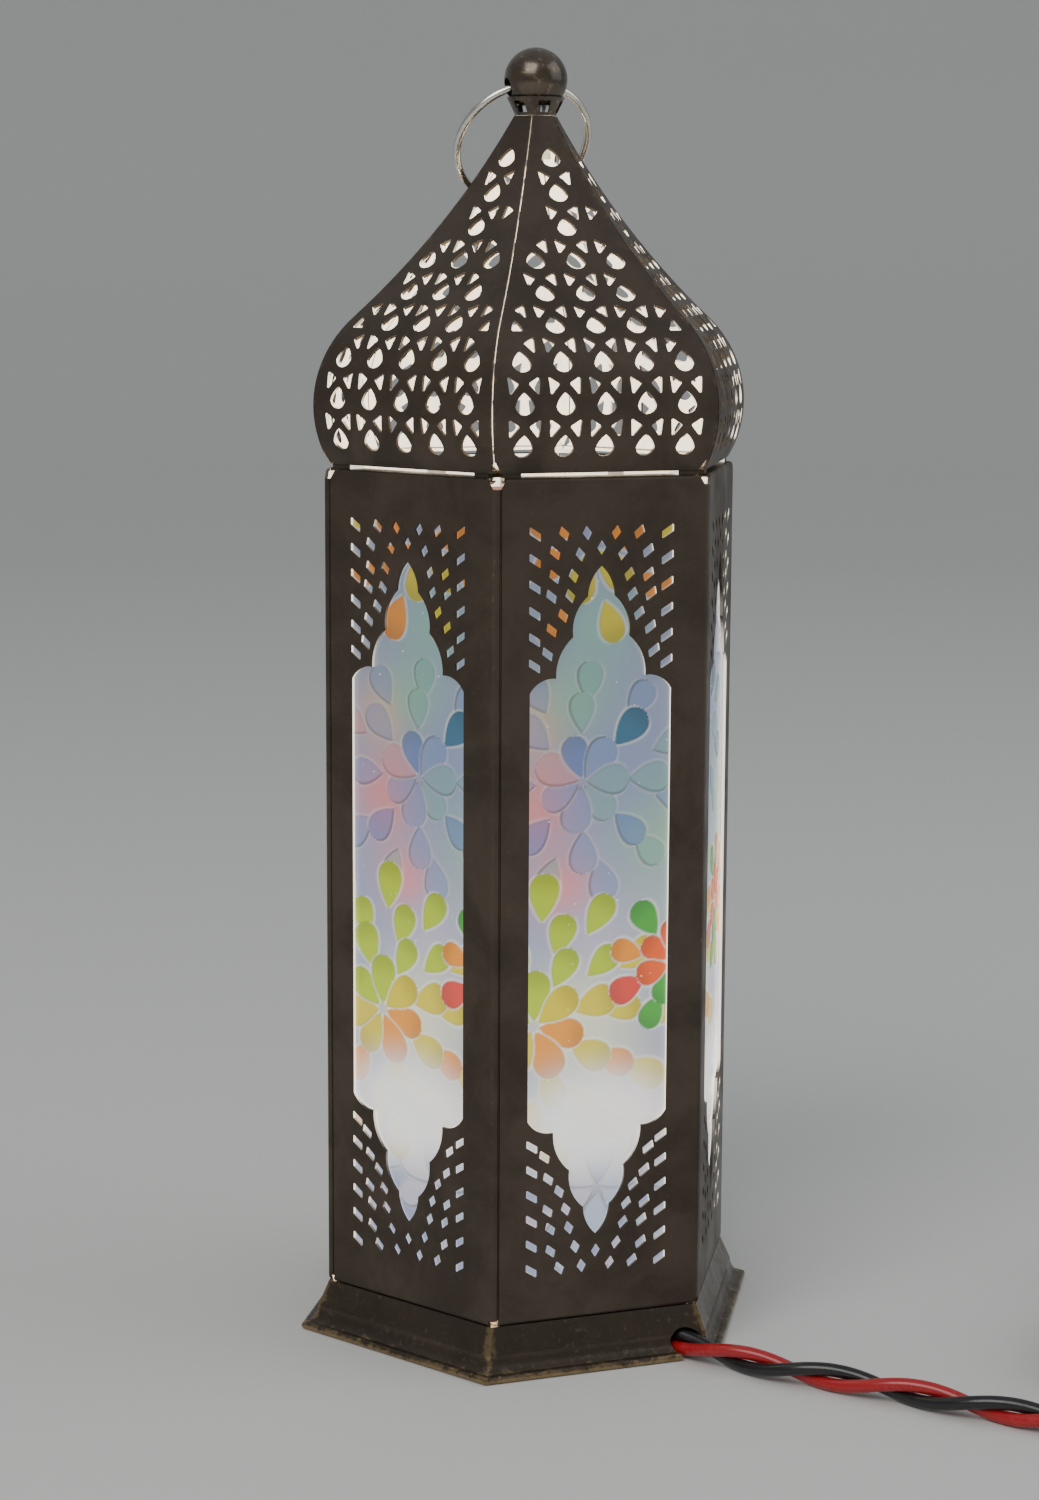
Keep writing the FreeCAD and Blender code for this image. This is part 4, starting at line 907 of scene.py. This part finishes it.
class LANTERN_OT_base(LanternOperator, bpy.types.Operator):
    """Skirt, base plate and their fixings"""
    bl_idname = "lantern.base"
    bl_label = "Base finishes"

    def execute(self, context):
        paint_nodes(skirt_paint(self.looks(context)), "base_skirt")
        paint_nodes(bare_metal("plate_steel", (0.48, 0.48, 0.46), 0.42, (1, 0.1, 1)),
                    "base_plate", "base_rivets", "holder_screws", "holder_nuts")
        return {"FINISHED"}


class LANTERN_OT_lamp(LanternOperator, bpy.types.Operator):
    """Lamp holder, lamp and the wiring inside"""
    bl_idname = "lantern.lamp"
    bl_label = "Lamp finishes"

    def execute(self, context):
        lead = context.scene.lantern_lead
        paint_nodes(moulded("holder_cream", (0.74, 0.70, 0.62), 0.42), "lamp_holder")
        paint_nodes(bare_metal("pressed_brass", (0.72, 0.52, 0.22), 0.30), "holder_terminals",
                    "holder_liner", "centre_contact")
        paint_nodes(bare_metal("cap_aluminium", (0.74, 0.74, 0.73), 0.30, (0.1, 0.1, 1)), "bulb_cap")
        paint_nodes(moulded("tip_black", (0.02, 0.02, 0.02), 0.25), "bulb_tip")
        paint_nodes(lit_glass(context.scene.lantern_stage.lamp), "bulb_glass")
        paint_nodes(moulded("bush_rubber", (0.03, 0.03, 0.03), 0.60), "lead_grommet")
        paint_nodes(moulded("clamp_black", (0.035, 0.035, 0.037), 0.50), "lead_clamp")
        paint_nodes(cable_skin("core_red_skin", tuple(lead.red)), "core_red")
        paint_nodes(cable_skin("core_black_skin", tuple(lead.black)), "core_black")
        return {"FINISHED"}


class LANTERN_OT_plug(LanternOperator, bpy.types.Operator):
    """Plug and the tie round the coil"""
    bl_idname = "lantern.plug"
    bl_label = "Plug finishes"

    def execute(self, context):
        paint_nodes(moulded("plug_black", (0.028, 0.028, 0.030), 0.42, 900.0), "plug_body")
        paint_nodes(moulded("tie_black", (0.03, 0.03, 0.03), 0.5, 1800.0), "coil_tie")
        paint_nodes(bare_metal("pin_nickel", (0.66, 0.62, 0.54), 0.24, (1, 0.1, 1)), "plug_pins")
        return {"FINISHED"}


class LANTERN_PT_sidebar(bpy.types.Panel):
    """Settings and pieces of the lantern"""
    bl_label = "Lantern"
    bl_idname = "LANTERN_PT_sidebar"
    bl_space_type = "VIEW_3D"
    bl_region_type = "UI"
    bl_category = "Lantern"

    def draw(self, context):
        layout = self.layout
        for group_name, kind in SETTINGS.items():
            box = layout.box()
            for key in kind.__annotations__:
                box.prop(getattr(context.scene, group_name), key)
        for operator in OPERATORS:
            layout.operator(operator.bl_idname)


# ---- stage ---------------------------------------------------------------------------------

# The camera's place round the lantern, and how it is aimed.
CAMERA_AZIMUTH = -20.24
CAMERA_DISTANCE = 0.6077
CAMERA_HEIGHT = 0.21465
CAMERA_PITCH = -9.163
CAMERA_YAW = -0.240
CAMERA_ROLL = 0.284
CAMERA_LENS = 72.95


def make_camera(scene):
    """Camera that looks at the front face from its left, a little from above."""
    pitch, yaw, roll = (math.radians(a) for a in (CAMERA_PITCH, CAMERA_YAW, CAMERA_ROLL))
    forward = Vector((math.sin(yaw) * math.cos(pitch), math.cos(yaw) * math.cos(pitch),
                      math.sin(pitch)))
    level = Vector((math.cos(yaw), -math.sin(yaw), 0.0))
    above = level.cross(forward)
    right = math.cos(roll) * level + math.sin(roll) * above
    up = math.cos(roll) * above - math.sin(roll) * level
    aim = Matrix((right, up, -forward)).transposed().to_4x4()
    place = Matrix.Translation((0.0, -CAMERA_DISTANCE, CAMERA_HEIGHT))
    data = bpy.data.cameras.new("camera")
    data.lens = CAMERA_LENS
    data.clip_start = 0.01
    camera = bpy.data.objects.new("camera", data)
    camera.matrix_world = Matrix.Rotation(math.radians(CAMERA_AZIMUTH), 4, "Z") @ place @ aim
    scene.collection.objects.link(camera)
    scene.camera = camera


# The floor's outline in (radius, height), in metres: flat, then curving up into a backdrop.
SWEEP = ((0.3, 0.0), (0.8, 0.0), (1.6, 0.0), (2.0, 0.03), (2.4, 0.15), (2.7, 0.42), (2.85, 0.9),
         (2.9, 2.4))


def sweep_floor():
    """A round floor that curves up into its backdrop: the sweep's outline turned about Z."""
    count = 96
    angle = np.linspace(0, 2 * np.pi, count, endpoint=False)
    outline = np.array(SWEEP)
    radius, height = outline[:, :1], outline[:, 1:] - 0.00005
    rings = np.stack([radius * np.cos(angle), radius * np.sin(angle),
                      np.broadcast_to(height, (len(outline), count))], -1)
    inner = (np.arange(len(outline) - 1)[:, None] * count + np.arange(count)[None, :]).ravel()
    beside = inner - inner % count + (inner + 1) % count
    faces = [list(range(count))]
    faces += np.stack([beside, inner, inner + count, beside + count], -1).tolist()
    return new_piece("studio_floor", rings.reshape(-1, 3), faces)


def floor_finish(colour):
    """Matt paper: an even tone with the faintest tooth."""
    material, n, shader, place = new_material("floor_paper")
    tooth = n.noise(place, 300.0, 3.0)
    n.feed(shader.inputs["Base Color"], n.mix(tooth, tuple(0.98 * c for c in colour), colour))
    n.feed(shader.inputs["Roughness"], n.between(tooth, 0.75, 0.9))
    return material


def soft_light(name, place, size, power, colour):
    """A square area light that points at the middle of the lantern."""
    data = bpy.data.lights.new(name, "AREA")
    data.shape = "SQUARE"
    data.size = size
    data.energy = power
    data.color = colour
    light = bpy.data.objects.new(name, data)
    low, high = cad_box
    target = Vector((0.0, 0.0, (low.z + high.z) / 2))
    light.location = place
    light.rotation_euler = (target - Vector(place)).to_track_quat("-Z", "Y").to_euler()
    bpy.context.scene.collection.objects.link(light)


def studio_surroundings(scene, strength):
    world = bpy.data.worlds.new("studio")
    world.use_nodes = True
    background = world.node_tree.nodes["Background"]
    background.inputs["Color"].default_value = (0.80, 0.84, 0.90, 1.0)
    background.inputs["Strength"].default_value = strength
    scene.world = world


# ---- registration and run ------------------------------------------------------------------

SETTINGS = {
    "lantern_panes": LanternPaneSettings,
    "lantern_lead": LanternLeadSettings,
    "lantern_metal": LanternMetalSettings,
    "lantern_stage": LanternStageSettings,
}
OPERATORS = (
    LANTERN_OT_stage, LANTERN_OT_lead, LANTERN_OT_panes, LANTERN_OT_body, LANTERN_OT_finial,
    LANTERN_OT_base, LANTERN_OT_lamp, LANTERN_OT_plug,
)


def register():
    for kind in (*SETTINGS.values(), *OPERATORS, LANTERN_PT_sidebar):
        bpy.utils.register_class(kind)
    for name, kind in SETTINGS.items():
        setattr(bpy.types.Scene, name, bpy.props.PointerProperty(type=kind))


def unregister():
    for name in SETTINGS:
        delattr(bpy.types.Scene, name)
    for kind in reversed((*SETTINGS.values(), *OPERATORS, LANTERN_PT_sidebar)):
        bpy.utils.unregister_class(kind)


def main():
    register()
    for operator in OPERATORS:
        group, name = operator.bl_idname.split(".")
        getattr(getattr(bpy.ops, group), name)()


if __name__ == "__main__":
    main()
